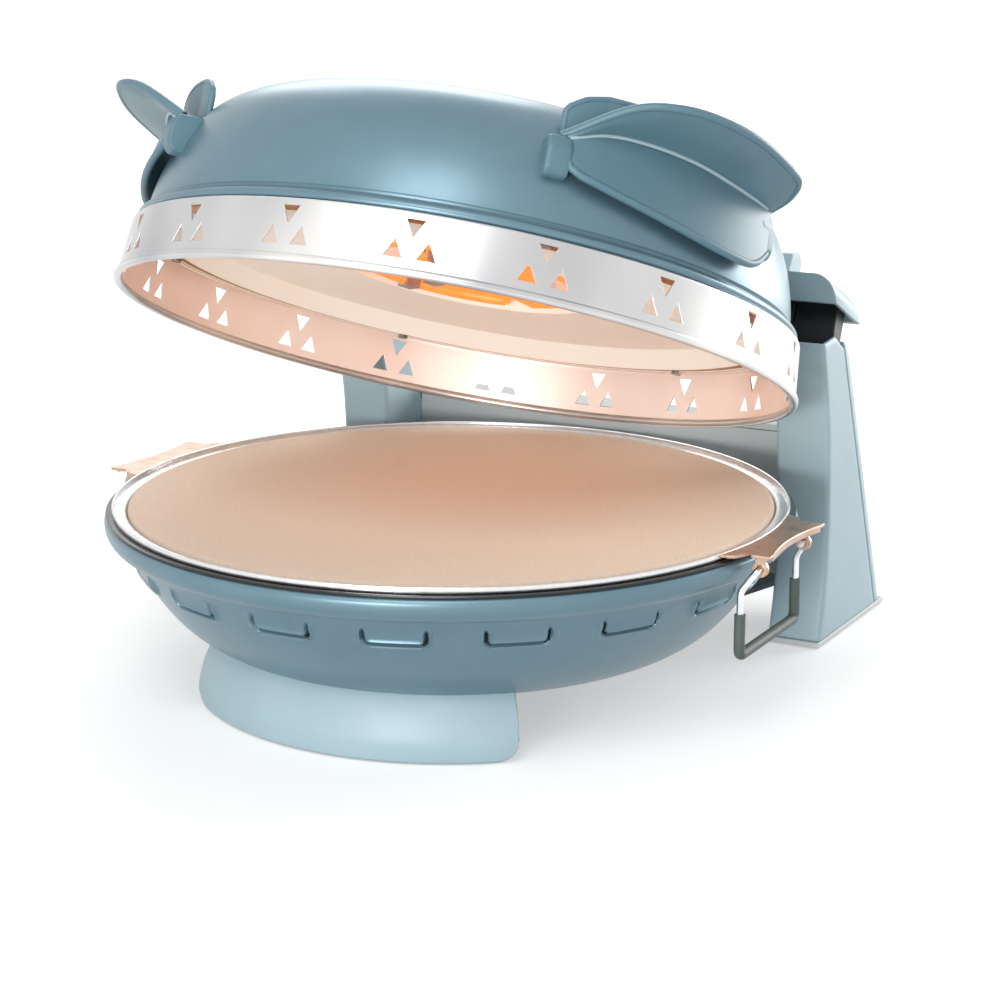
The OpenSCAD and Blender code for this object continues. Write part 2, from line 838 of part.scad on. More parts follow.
module thermostat_body()
    color([0.7, 0.7, 0.72]) on_base()
    difference() {
        x_rod(-pillar_out_x + wall, -pillar_in_x - wall, knob_y, knob_z, 14);
        x_rod(-pillar_out_x, -pillar_out_x + 15, knob_y, knob_z, shaft_r + run_gap);
    }

// Knob with a ring of finger flutes, and the shaft that it turns
module thermostat_knob() {
    face_x = -pillar_out_x - 0.8;
    color(dark) on_base()
    difference() {
        union() {
            x_rod(face_x - 14, face_x, knob_y, knob_z, knob_r);
            x_rod(face_x, -pillar_out_x + 13, knob_y, knob_z, shaft_r);
        }
        for (a = [0:30:330])
            translate([face_x - 15, knob_y, knob_z])
            rotate([a, 0, 0])
            x_rod(0, 11, knob_r + 1.4, 0, 3, 32);
    }
}

module indicator_lens()
    color([1, 0.5, 0.2]) on_base()
    x_rod(-pillar_out_x - 1.2, -pillar_out_x + wall + 2, knob_y, lamp_z, 2.5);

// Two upright triangles and one inverted triangle in each group
module triangle_cuts() {
    side_x = tri_half + 3.3;
    for (i = [0:groups - 1])
        rotate([0, 0, i * pitch])
        translate([0, 12 - band_low_r, 0])
        rotate([90, 0, 0])
        linear_extrude(20) {
            for (x = [-side_x, side_x]) polygon([[x - tri_half, 5.5], [x + tri_half, 5.5], [x, 14.3]]);
            polygon([[0, 15.2], [tri_half, 24.2], [-tri_half, 24.2]]);
        }
}

module band_section()
    lathe([
        [band_low_r - band_t, bead_z],
        [band_low_r, bead_z],
        [band_high_r, band_h],
        [band_high_r - 11.5, band_h],
        [band_high_r - 11.5, band_h - band_t],
        [band_high_r - band_t, band_h - band_t]
    ]);

module ring_screw_holes()
    for (a = ring_screw_angles) rotate([0, 0, a]) post(ring_screw_r, 0, band_h - 5, 1.6, 12);

module lid_band()
    color(steel) on_lid()
    difference() {
        band_section();
        triangle_cuts();
        ring_screw_holes();
    }

module band_bead()
    color(steel) on_lid()
    difference() {
        rotate_extrude($fn = 180) translate([bead_mid_r, bead_z]) circle(r = bead_r, $fn = 32);
        band_section();
    }

module lid_side_holes()
    both_sides()
    for (q = side_screws)
        rotate([0, 0, q[0]]) x_rod(band_high_r - 29.5, band_high_r + 0.5, 0, q[1], screw_r + hole_gap);

module lid_dome()
    color(paint) on_lid()
    difference() {
        union() {
            difference() {
                dome_solid();
                dome_hollow();
            }
            for (a = ring_screw_angles)
                rotate([0, 0, a]) translate([band_high_r - 13.5, -5, band_h]) cube([9.8, 10, 2]);
        }
        ring_screw_holes();
        lid_side_holes();
    }

module lid_screws()
    color(steel) on_lid()
    both_sides()
    for (q = side_screws)
        rotate([0, 0, q[0]]) {
            x_rod(band_high_r - 23.5, band_high_r - 4.5, 0, q[1], screw_r);
            x_rod(band_high_r - 25.5, band_high_r - 23.5, 0, q[1], 3.8);
        }

module ring_screws()
    color(steel) on_lid()
    for (a = ring_screw_angles)
        rotate([0, 0, a]) {
            post(ring_screw_r, 0, band_h - 3.4, 2.8, 1.6);
            post(ring_screw_r, 0, band_h - 3, 1.5, 7);
        }

// Pressed ceiling of the lid, raised in a step all round and in a recess over the heater
module lid_ceiling() {
    flange_z = band_h - band_t;
    color([0.9, 0.82, 0.7]) on_lid()
    difference() {
        lathe([
            [0, recess_z],
            [recess_r - 4, recess_z],
            [recess_r, ceiling_z],
            [band_high_r - 25, ceiling_z],
            [band_high_r - 15, flange_z - 1],
            [band_high_r - 3.5, flange_z - 1],
            [band_high_r - 3.5, flange_z],
            [band_high_r - 14.5, flange_z],
            [band_high_r - 24.5, ceiling_z + 1],
            [recess_r + 0.6, ceiling_z + 1],
            [recess_r - 3.4, recess_z + 1],
            [0, recess_z + 1]
        ]);
        ring_screw_holes();
        for (r = upper_loops)
            rotate([0, 0, lead_angles[1]]) post(r, 0, recess_z - 3, tube_r + 0.4, 10);
    }
}

// Two open loops in the ceiling's recess, with both leads turned up through it
module upper_heating_element()
    color(steel) on_lid() translate([0, 0, upper_element_z]) {
        heater_loops(upper_loops);
        heater_link(upper_loops);
        for (r = upper_loops)
            rotate([0, 0, lead_angles[1]]) rod([r, 0, -2], [r, 0, 9.5], tube_r - 0.3);
    }

module upper_element_clips() {
    clip_z = upper_element_z - tube_r - 0.8;
    color(steel) on_lid()
    difference() {
        for (a = clip_angles)
            for (r = upper_loops)
                rotate([0, 0, a]) translate([r - 5, -4, clip_z]) cube([10, 8, recess_z - clip_z]);
        translate([0, 0, upper_element_z]) heater_seats(upper_loops);
    }
}

module lid_heat_shield() {
    foot_z = ceiling_z + 1;
    top_z = ceiling_z + 17;
    color(steel) on_lid()
    rotate_extrude($fn = 120)
    polygon([
        [band_high_r - 26.5, foot_z],
        [band_high_r - 26.5, foot_z + 1],
        [band_high_r - 35.5, foot_z + 1],
        [band_high_r - 40.5, top_z],
        [0, top_z],
        [0, top_z - 1],
        [band_high_r - 41.5, top_z - 1],
        [band_high_r - 36.5, foot_z]
    ]);
}

module lid_insulation()
    color([0.9, 0.88, 0.82]) on_lid() translate([0, 0, ceiling_z + 17]) cylinder(r = band_high_r - 46.5, h = 14);

module thermal_cutout()
    color([0.8, 0.78, 0.7]) on_lid() translate([0, 0, ceiling_z + 31]) {
        translate([-12, -9, 0]) cube([24, 18, 8]);
        for (x = [-8, 5]) translate([x, -3, 8]) cube([3, 6, 6]);
    }

// Cast arm from the dome's flank back to the hub on the hinge pin, drawn about the pin
module hinge_arm()
    difference() {
        translate([0, hinge_y, hinge_z - lid_z]) {
            across(lug_in_x, lug_out_x) {
                circle(r = hub_r);
                polygon([[-7, -6.5], [6.5, 7], [-36.5, 45], [-62, 49], [-62, 46.5], [-48, 42.5]]);
            }
            across(pillar_in_x - 38, lug_out_x)
            polygon([[-66, 44], [-72, 50.5], [-59, 51], [-45, 48.6], [-39, 46], [-44, 44]]);
            across(pillar_in_x - 38, cap_in - 0.5)
            polygon([[-70, 44], [-78.5, 53.5], [-59, 53.5], [-44, 51], [-38, 48], [-44, 44]]);
            across(pillar_in_x - 13, pillar_in_x)
            polygon([[-58, 50], [-56, 68], [-46, 71], [-41, 68], [-41, 47]]);
        }
        translate([0, hinge_y, hinge_z - lid_z]) x_rod(lug_in_x - 1, lug_out_x + 1, 0, 0, pin_r + 2);
        dome_solid();
        lid_side_holes();
    }

module hinge_arm_right() color(pale_paint) on_lid() hinge_arm();
module hinge_arm_left() color(pale_paint) on_lid() mirror([1, 0, 0]) hinge_arm();

// Front outline of the cap, rounded at its outer top corner and set in by a wall
module cap_front(inset) {
    round_z = hinge_z - lid_z + 43.5;
    union() {
        translate([cap_in - 1 - inset, round_z - 13.5])
        square([cap_out - cap_round - cap_in + 1 + inset, 30]);
        translate([cap_in - 1 - inset, round_z - 13.5]) square([cap_out - cap_in + 1, 13.5]);
        translate([cap_out - cap_round, round_z]) circle(r = cap_round - inset);
    }
}

// Cover shell over the arm and the top of the pillar, drawn about the pin
module hinge_cap() {
    outer = [[-66, 41], [-78.5, 53.5], [-59, 53.5], [-44, 51], [-34, 47.5], [-28, 43.5], [-24, 39.5]];
    inner = [
        [-63.5, 38],
        [-63.5, 41],
        [-74, 51.4],
        [-59, 51.4],
        [-44.5, 49],
        [-35, 45.6],
        [-30.5, 42.4],
        [-26.5, 38]
    ];
    difference() {
        intersection() {
            translate([0, hinge_y, hinge_z - lid_z]) across(cap_in, cap_out) polygon(outer);
            translate([0, hinge_y + 16, 0]) rotate([90, 0, 0]) linear_extrude(150) cap_front(0);
        }
        intersection() {
            translate([0, hinge_y, hinge_z - lid_z]) across(cap_in - 1, cap_out - cap_t) polygon(inner);
            translate([0, hinge_y + 16, 0]) rotate([90, 0, 0]) linear_extrude(150) cap_front(cap_t);
        }
    }
}

module hinge_cap_right() color(pale_paint) on_lid() hinge_cap();
module hinge_cap_left() color(pale_paint) on_lid() mirror([1, 0, 0]) hinge_cap();

// Turns about the dome's axis, measured from the front towards the right
module turned(a0, a1)
    rotate([0, 0, a0 - 90])
    rotate_extrude(angle = a1 - a0, $fn = 180)
    children();

// Extrudes an outline drawn in side distance and height, out through the handle's middle
module facing_out()
    rotate([0, 0, handle_turn - 90])
    translate([band_high_r - 74.5, 0, 0])
    rotate([90, 0, 90])
    linear_extrude(120)
    children();

// Grip panel that stands off the dome, with its lower edge curved
module grip_panel()
    intersection() {
        turned(40.5, 86) polygon(from_band([[11.5, 56], [8.5, 56], [-1.5, 16], [1.5, 16]]));
        facing_out()
        polygon(over_band([
            [-66, 62],
            [-60, 38],
            [-57, 32.8],
            [-29, 25],
            [10, 18.5],
            [37, 16.8],
            [48, 20],
            [60, 28],
            [70, 62]
        ]));
    }

// Upright leaf above the panel, rounded at its front
module inner_leaf()
    intersection() {
        turned(39, 86) polygon(from_band([[14, 46], [11, 46], [11, 76], [14, 76]]));
        facing_out()
        polygon(over_band([
            [-66, 42],
            [-66, 59],
            [-62, 66],
            [-55, 71.5],
            [-44, 74],
            [-30, 74],
            [0, 70],
            [30, 62],
            [52, 54],
            [64, 48],
            [64, 42]
        ]));
    }

// Leaf that flares out from the crease, with its plan drawn from the band outwards
module outer_leaf()
    intersection() {
        turned(38, 88)
        polygon(from_band([[12.5, 50], [9.5, 49], [-33.5, 67], [-33.5, 70.2], [-31.5, 69.4], [12.5, 52.5]]));
        rotate([0, 0, handle_turn - 90])
        translate([band_high_r, 0, band_h + 32])
        linear_extrude(60)
        polygon([
            [-23.5, -62.4],
            [-18.8, -62.8],
            [12.7, -51.7],
            [21.6, -43],
            [27.2, -32.1],
            [29.8, -19.9],
            [30.1, -7.8],
            [28.9, 5.1],
            [25.4, 19.1],
            [19.7, 35.3],
            [12.2, 49.4],
            [3.4, 60.6],
            [-3.9, 64.7],
            [-10.2, 65.9],
            [-21.4, 65.6],
            [-36.4, 59.8],
            [-39.3, -41.3]
        ]);
    }

// Side handle: grip panel, two leaves and a screwed block at each end
module lid_handle()
    difference() {
        union() {
            grip_panel();
            inner_leaf();
            outer_leaf();
            turned(37.5, 43) polygon(from_band([[26.5, 29], [4.9, 29], [3.5, 34], [9, 56], [24.5, 56]]));
            turned(80.5, 85.6) polygon(from_band([[26.5, 24], [3, 24], [2.1, 28], [8.1, 52], [24.5, 52]]));
        }
        dome_solid();
        lid_side_holes();
    }

module lid_handle_right() color(pale_paint) on_lid() lid_handle();
module lid_handle_left() color(pale_paint) on_lid() mirror([1, 0, 0]) lid_handle();

base_shell();
oven_pan();
lower_heating_element();
lower_element_clips();
thermostat_probe();
base_heat_shield();
shield_spacers();
pizza_stone();
tray_ring();
tray_bracket_right();
tray_bracket_left();
bail_right();
bail_left();
bail_grip_right();
bail_grip_left();
front_foot();
foot_pads();
bottom_screws();
carrier_plate();
rear_bridge();
bridge_cap();
terminal_block();
power_inlet();
inlet_pins();
pillar_right();
pillar_left();
rear_cover_right();
rear_cover_left();
pillar_foot_right();
pillar_foot_left();
hinge_fork_right();
hinge_fork_left();
hinge_pins();
friction_washers();
thermostat_body();
thermostat_knob();
indicator_lens();
lid_dome();
lid_band();
band_bead();
lid_ceiling();
ring_screws();
upper_heating_element();
upper_element_clips();
lid_heat_shield();
lid_insulation();
thermal_cutout();
hinge_arm_right();
hinge_arm_left();
hinge_bushes();
hinge_cap_right();
hinge_cap_left();
lid_handle_right();
lid_handle_left();
lid_screws();
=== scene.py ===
import json
import math

import bmesh
import bpy
import numpy as np
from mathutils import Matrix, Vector


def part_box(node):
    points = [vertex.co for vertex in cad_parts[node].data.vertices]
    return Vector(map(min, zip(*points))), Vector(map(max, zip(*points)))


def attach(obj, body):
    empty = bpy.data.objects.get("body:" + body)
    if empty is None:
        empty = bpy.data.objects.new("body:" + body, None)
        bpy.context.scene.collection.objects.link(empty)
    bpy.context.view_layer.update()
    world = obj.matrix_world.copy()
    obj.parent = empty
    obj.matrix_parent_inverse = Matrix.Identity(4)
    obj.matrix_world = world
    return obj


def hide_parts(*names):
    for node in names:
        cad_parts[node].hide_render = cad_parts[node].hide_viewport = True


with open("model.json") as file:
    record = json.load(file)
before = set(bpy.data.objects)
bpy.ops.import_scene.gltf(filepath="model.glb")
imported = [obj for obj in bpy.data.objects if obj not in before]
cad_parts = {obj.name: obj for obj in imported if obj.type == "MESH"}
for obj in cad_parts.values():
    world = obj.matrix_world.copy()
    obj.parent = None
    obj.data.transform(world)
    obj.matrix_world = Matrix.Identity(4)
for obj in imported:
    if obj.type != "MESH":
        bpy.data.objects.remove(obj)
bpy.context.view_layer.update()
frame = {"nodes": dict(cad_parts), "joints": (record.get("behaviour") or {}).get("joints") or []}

# Painted bowl
# The lower shell is deep-drawn steel sheet with a rolled rim and eighteen hooded louvres pressed in
# one blow, sprayed with a satin grey-blue metallic paint. The hoods stand proud of narrow dark slots.
MM = 0.001
stone_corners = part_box("pizza_stone")
bowl_axis_y = (stone_corners[0][1] + stone_corners[1][1]) / 2 / MM
sheet = 1.5
rim_radius = 180.0
rim_top = 96.0
bowl_floor_z = 26.0
bowl_top_z = 85.3
bowl_reach = 172.5
louvre_count = 18
louvre_z = 72.4
louvre_half_width = 15.0
louvre_half_height = 3.1
louvre_corner = 2.9
hood_height = 1.5
slot_depth = 1.8


def from_hex(code):
    """An sRGB hex colour as linear red, green, blue and alpha."""
    srgb = np.array([int(code[i:i + 2], 16) for i in (0, 2, 4)]) / 255
    linear = np.where(srgb <= 0.04045, srgb / 12.92, ((srgb + 0.055) / 1.055) ** 2.4)
    return (*linear.tolist(), 1.0)


def add_node(tree, kind, inputs=None, **settings):
    """One shader node, with its settings, and its inputs as values or as the outputs that feed them."""
    node = tree.nodes.new(kind)
    for name, value in settings.items():
        setattr(node, name, value)
    for name, value in (inputs or {}).items():
        if isinstance(value, bpy.types.NodeSocket):
            tree.links.new(value, node.inputs[name])
        else:
            node.inputs[name].default_value = value
    return node


def new_finish(name, **inputs):
    """A material with one Principled shader. Returns the material, its tree, the shader and the surface coordinates."""
    material = bpy.data.materials.new(name)
    material.use_nodes = True
    tree = material.node_tree
    tree.nodes.clear()
    shader = add_node(tree, "ShaderNodeBsdfPrincipled", inputs)
    add_node(tree, "ShaderNodeOutputMaterial", {"Surface": shader.outputs["BSDF"]})
    coords = add_node(tree, "ShaderNodeTexCoord").outputs["Object"]
    return material, tree, shader, coords


def vary(tree, shader, coords, low_hex, high_hex, size_mm, detail=3.0, stretch=(1, 1, 1)):
    """Colours a surface between two close tones by noise whose patches are size_mm across."""
    mapped = add_node(tree, "ShaderNodeMapping", {"Vector": coords, "Scale": stretch})
    noise = add_node(tree, "ShaderNodeTexNoise", {
        "Vector": mapped.outputs["Vector"], "Scale": 1 / (size_mm * MM), "Detail": detail, "Roughness": 0.6})
    ramp = add_node(tree, "ShaderNodeValToRGB", {"Fac": noise.outputs["Fac"]})
    ramp.color_ramp.elements[0].position = 0.3
    ramp.color_ramp.elements[0].color = from_hex(low_hex)
    ramp.color_ramp.elements[1].position = 0.7
    ramp.color_ramp.elements[1].color = from_hex(high_hex)
    tree.links.new(ramp.outputs["Color"], shader.inputs["Base Color"])
    return noise


def grain(tree, shader, coords, size_mm, height_mm, strength=1.0, stretch=(1, 1, 1)):
    """Gives a surface a fine relief of noise, size_mm across and height_mm deep."""
    mapped = add_node(tree, "ShaderNodeMapping", {"Vector": coords, "Scale": stretch})
    noise = add_node(tree, "ShaderNodeTexNoise", {
        "Vector": mapped.outputs["Vector"], "Scale": 1 / (size_mm * MM), "Detail": 2.0})
    bump = add_node(tree, "ShaderNodeBump", {
        "Height": noise.outputs["Fac"], "Distance": height_mm * MM, "Strength": strength})
    tree.links.new(bump.outputs["Normal"], shader.inputs["Normal"])
    return noise


def roughen(tree, shader, noise, low, high):
    """Lets a noise move the roughness between two values."""
    spread = add_node(tree, "ShaderNodeMapRange", {
        "Value": noise.outputs["Fac"], "From Min": 0.3, "From Max": 0.7, "To Min": low, "To Max": high})
    tree.links.new(spread.outputs["Result"], shader.inputs["Roughness"])


def in_base(points):
    """Millimetres about the bowl's axis as metres in the frame."""
    return (np.asarray(points, float) + [0, bowl_axis_y, 0]) * MM


def lathe(profile, angles):
    """Turns a profile of radius and height about Z. An angle of 0 faces the front and grows to the right."""
    profile = np.asarray(profile, float)
    around = np.asarray(angles, float)
    radius = profile[:, :1]
    height = np.repeat(profile[:, 1:], len(around), axis=1)
    return np.stack([radius * np.sin(around), -radius * np.cos(around), height], axis=-1)


def grid_faces(rows, columns, wrap_rows=False, wrap_columns=False):
    """Four-sided faces of a grid of points, joined round where it wraps."""
    index = np.arange(rows * columns).reshape(rows, columns)
    if wrap_rows:
        index = np.concatenate([index, index[:1]])
    if wrap_columns:
        index = np.concatenate([index, index[:, :1]], axis=1)
    corners = [index[:-1, :-1], index[1:, :-1], index[1:, 1:], index[:-1, 1:]]
    return np.stack(corners, axis=-1).reshape(-1, 4)


def add_piece(name, parts, finishes, body, replaced=(), sharp=35, dark_faces=None):
    """One mesh object of several (points, faces) parts in metres, welded, with its faces turned outwards."""
    vertices = np.concatenate([np.asarray(points, float).reshape(-1, 3) for points, _ in parts])
    starts = np.cumsum([0] + [np.asarray(points).size // 3 for points, _ in parts])
    faces = [[int(corner) + int(start) for corner in face] for (_, some), start in zip(parts, starts) for face in some]
    mesh = bpy.data.meshes.new(name)
    mesh.from_pydata(vertices.tolist(), [], faces)
    if dark_faces is not None:
        mesh.polygons.foreach_set("material_index", np.asarray(dark_faces, np.int32))
    work = bmesh.new()
    work.from_mesh(mesh)
    bmesh.ops.remove_doubles(work, verts=work.verts, dist=2e-6)
    bmesh.ops.recalc_face_normals(work, faces=work.faces)
    work.to_mesh(mesh)
    work.free()
    mesh.shade_smooth()
    mesh.set_sharp_from_angle(angle=math.radians(sharp))
    for finish in finishes:
        mesh.materials.append(finish)
    piece = bpy.data.objects.new(name, mesh)
    bpy.context.scene.collection.objects.link(piece)
    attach(piece, body)
    if replaced:
        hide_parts(*replaced)
    return piece


def bowl_wall(steps):
    """Outer wall of the bowl from rim to floor: r = reach * (1 - s ** 0.76) ** (1 / 7.67) as height falls by s."""
    height = np.asarray(steps, float)
    s = (bowl_top_z - height) / 60.3
    return np.stack([bowl_reach * (1 - s ** 0.76) ** (1 / 7.67), height], axis=-1)


def arc(centre, radii, start, end, count):
    """Points of an ellipse's arc between two angles in degrees."""
    turn = np.radians(np.linspace(start, end, count))
    return np.stack([centre[0] + radii[0] * np.cos(turn), centre[1] + radii[1] * np.sin(turn)], axis=-1)


satin_paint, tree, shader, coords = new_finish(
    "satin_metallic_paint", Metallic=0.4, Roughness=0.36, IOR=1.5)
shader.inputs["Coat Weight"].default_value = 0.3
shader.inputs["Coat Roughness"].default_value = 0.3
vary(tree, shader, coords, "5E7D8A", "668491", 30)
roughen(tree, shader, grain(tree, shader, coords, 1.2, 0.02, 0.35), 0.33, 0.39)
louvre_dark, tree, shader, coords = new_finish("louvre_slot_shadow", Roughness=0.9)
vary(tree, shader, coords, "11181C", "1C262B", 4)

wall_heights = np.concatenate([
    np.linspace(82.5, 80.5, 3), np.arange(79.5, 64.9, -0.6), np.linspace(63.5, 30, 18), [28.5, 27.3, 26.4, bowl_floor_z]])
rim_curve = np.concatenate([
    arc((rim_radius - 3, rim_top - 3), (3, 3), 90, 0, 7),
    arc((171.2, 92), (8.8, 9.3), 0, -84, 12)])
outer_profile = np.concatenate([rim_curve, bowl_wall(wall_heights), [[60, bowl_floor_z], [0, bowl_floor_z]]])
inner_profile = np.concatenate([
    [[0, bowl_floor_z + sheet], [60, bowl_floor_z + sheet]],
    (bowl_wall([27.5, 32, 40, 50, 60, 70, 80, 83]) + [-sheet, sheet]),
    [[rim_radius - 6, 88], [rim_radius - 3, rim_top - sheet]]])
louvre_step = 2 * math.pi / louvre_count
fine_reach = math.radians(6.2)
one_louvre = np.concatenate([
    np.linspace(-fine_reach, fine_reach, 50),
    np.linspace(fine_reach, louvre_step - fine_reach, 8)[1:-1]])
bowl_angles = (np.arange(louvre_count)[:, None] * louvre_step + one_louvre).ravel()
outer_skin = lathe(outer_profile, bowl_angles)
local = np.tile(one_louvre, louvre_count)[None, :] * 165
rise = outer_profile[:, 1][:, None] - louvre_z
in_wall = ((outer_profile[:, 1] < 82) & (outer_profile[:, 1] > 64))[:, None]
outside = np.stack(np.broadcast_arrays(
    np.abs(local) - (louvre_half_width - louvre_corner),
    -rise - (louvre_half_height - louvre_corner)), axis=-1)
edge_distance = np.linalg.norm(np.maximum(outside, 0), axis=-1) + np.minimum(outside.max(-1), 0) - louvre_corner
fade_up = np.clip((5.4 - rise) / 3, 0, 1)
hood = hood_height * np.clip((5.5 - rise) / 8, 0, 1) ** 1.5 * (1 - np.exp(-np.maximum(-edge_distance, 0) / 1.1))
slot_cut = slot_depth * np.exp(-(np.abs(edge_distance) / 0.65) ** 4) * fade_up
lip = (1.5 * np.exp(-((edge_distance - 1.7) / 0.9) ** 2) + 0.9 * np.exp(-((edge_distance + 1.7) / 0.8) ** 2)) * fade_up
push = np.where(in_wall, hood * (edge_distance < 0) + lip - slot_cut, 0)
outward = np.stack([np.sin(bowl_angles), -np.cos(bowl_angles), np.full_like(bowl_angles, -0.45)], axis=-1) / 1.097
outer_skin = outer_skin + push[..., None] * outward[None]
bowl_points = np.concatenate([outer_skin, lathe(inner_profile, bowl_angles)])
bowl_rows, bowl_columns = bowl_points.shape[:2]
slot_here = (np.abs(edge_distance) < 0.5) & in_wall & (rise < 3.4)
slot_rows = np.zeros((bowl_rows, bowl_columns), np.int32)
slot_rows[:len(outer_profile)] = slot_here
add_piece("painted_bowl", [(in_base(bowl_points), grid_faces(bowl_rows, bowl_columns, True, True))],
          [satin_paint, louvre_dark], "base", ["base_shell"], dark_faces=slot_rows.ravel())

# Oven pan and what lies under it
# Inside the bowl hangs a dished pan of black vitreous enamel that reflects heat up; its flat flange
# shows as a dark ring round the tray. Heater, clips, shields and spacers are fixed below and on it.
pan_wall = np.array([[146, 69], [152, 70.6], [157.2, 74.2], [162.5, 79.5], [166.3, 83.2], [169.6, 85], [171.1, 87]])
pan_profile = np.concatenate([
    [[0, 69]], pan_wall, [[171.1, 95.4]], arc((172.1, 95.4), (1.0, 0.6), 180, 90, 4),
    arc((rim_radius - 1.3, 96.6), (0.6, 0.6), -90, 90, 6),
    arc((171.6, 95.6), (1.7, 1.6), 90, 180, 5), (pan_wall + [-1.0, 1.1])[::-1], [[0, 70.2]]])


def add_turned(name, profile, finish, body, replaced, place, segments=360):
    """A closed profile turned all the way round and put in place."""
    points = lathe(profile, np.linspace(0, 2 * math.pi, segments + 1)[:-1])
    faces = grid_faces(points.shape[0], segments, True, True)
    return add_piece(name, [(place(points), faces)], [finish], body, replaced)


black_enamel, tree, shader, coords = new_finish("black_vitreous_enamel", Roughness=0.12, IOR=1.55)
roughen(tree, shader, vary(tree, shader, coords, "08090A", "0F1112", 12), 0.18, 0.28)
add_turned("enamelled_pan", pan_profile, black_enamel, "base", ["oven_pan"], in_base)

heater_sheath, tree, shader, coords = new_finish("heat_tinted_steel_sheath", Metallic=1.0, Roughness=0.45)
vary(tree, shader, coords, "57504B", "7A7068", 14)
mill_aluminium, tree, shader, coords = new_finish("mill_aluminium_sheet", Metallic=1.0, Roughness=0.38)
vary(tree, shader, coords, "B9BBBD", "CBCDCE", 6, stretch=(1, 12, 1))
zinc_plate, tree, shader, coords = new_finish("zinc_plated_steel", Metallic=1.0, Roughness=0.34)
roughen(tree, shader, vary(tree, shader, coords, "9DA1A4", "B4B8BA", 5), 0.28, 0.44)
steatite, tree, shader, coords = new_finish("unglazed_steatite", Roughness=0.7)
grain(tree, shader, coords, 0.6, 0.03)
vary(tree, shader, coords, "DAD6C9", "E8E4D9", 3)
turned_brass, tree, shader, coords = new_finish("turned_brass", Metallic=1.0, Roughness=0.28)
vary(tree, shader, coords, "B29250", "C9AA66", 3, stretch=(8, 1, 1))
mineral_fibre, tree, shader, coords = new_finish("mineral_fibre_blanket", Roughness=0.95)
grain(tree, shader, coords, 1.5, 0.4)
vary(tree, shader, coords, "D8D3C4", "ECE8DC", 4, stretch=(1, 1, 3))


def dress(finish, *nodes):
    """Gives CAD nodes a finish in place of their plain one."""
    for name in nodes:
        materials = frame["nodes"][name].data.materials
        materials.clear()
        materials.append(finish)


dress(heater_sheath, "lower_heating_element")
dress(mill_aluminium, "base_heat_shield", "lid_heat_shield", "thermostat_body")
dress(steatite, "shield_spacers", "thermal_cutout", "terminal_block")
dress(zinc_plate, "lower_element_clips", "upper_element_clips", "thermostat_probe", "carrier_plate", "bottom_screws",
      "ring_screws", "lid_screws", "hinge_fork_right", "hinge_fork_left", "hinge_pins", "friction_washers")
dress(turned_brass, "inlet_pins", "hinge_bushes")
dress(mineral_fibre, "lid_insulation")

# Front foot
# A curved apron of grey-blue moulded plastic under the front of the bowl, with rounded lower corners.
# It is screwed up into the bowl's floor and stands on two rubber pads.
foot_half_angle = 43.0
foot_corner = 11.0
foot_plate = 3.2

satin_moulding, tree, shader, coords = new_finish("satin_moulded_plastic", Roughness=0.42, IOR=1.48)
roughen(tree, shader, grain(tree, shader, coords, 0.5, 0.03, 0.4), 0.38, 0.46)
vary(tree, shader, coords, "9EB6BE", "A4BBC3", 40)


def rounded_plate(middle, thickness, steps=5):
    """A plate with half-round edges about a surface middle[row, column], in millimetres.

    Each skin stands half the thickness along the surface normal. Round the edge, the section is a half
    circle whose outermost point is the surface's own edge."""
    middle = np.asarray(middle, float)
    rows, columns = middle.shape[:2]
    half = thickness / 2
    normal = np.cross(np.gradient(middle, axis=0), np.gradient(middle, axis=1))
    normal /= np.maximum(np.linalg.norm(normal, axis=-1, keepdims=True), 1e-9)
    ring = ([(0, c) for c in range(columns)] + [(r, columns - 1) for r in range(1, rows)]
            + [(rows - 1, c) for c in range(columns - 2, -1, -1)] + [(r, 0) for r in range(rows - 2, 0, -1)])
    r, c = np.array(ring).T
    inner = middle[np.clip(r, 1, rows - 2), np.clip(c, 1, columns - 2)]
    outwards = middle[r, c] - inner
    outwards -= (outwards * normal[r, c]).sum(-1, keepdims=True) * normal[r, c]
    outwards /= np.maximum(np.linalg.norm(outwards, axis=-1, keepdims=True), 1e-9)
    core = middle.copy()
    core[r, c] -= half * outwards
    turn = np.linspace(0, math.pi, steps + 2)[:, None, None]
    rim = core[r, c] + half * (np.cos(turn) * normal[r, c] + np.sin(turn) * outwards)
    skin = grid_faces(rows, columns)
    return [(core + half * normal, skin), (core - half * normal, skin), (rim, grid_faces(steps + 2, len(ring), False, True))]


def smooth_curve(points, count):
    """A Catmull-Rom curve through the points, as count points evenly spaced in its parameter."""
    points = np.asarray(points, float)
    padded = np.concatenate([2 * points[:1] - points[1:2], points, 2 * points[-1:] - points[-2:-1]])
    t = np.linspace(0, len(points) - 1, count)
    i = np.minimum(t.astype(int), len(points) - 2)
    f = (t - i)[:, None]
    p0, p1, p2, p3 = (padded[i + k] for k in range(4))
    return 0.5 * (2 * p1 + (p2 - p0) * f + (2 * p0 - 5 * p1 + 4 * p2 - p3) * f ** 2 + (3 * p1 - p0 - 3 * p2 + p3) * f ** 3)


def placed(parts, place):
    """Every part's points moved into the frame."""
    return [(place(points), faces) for points, faces in parts]


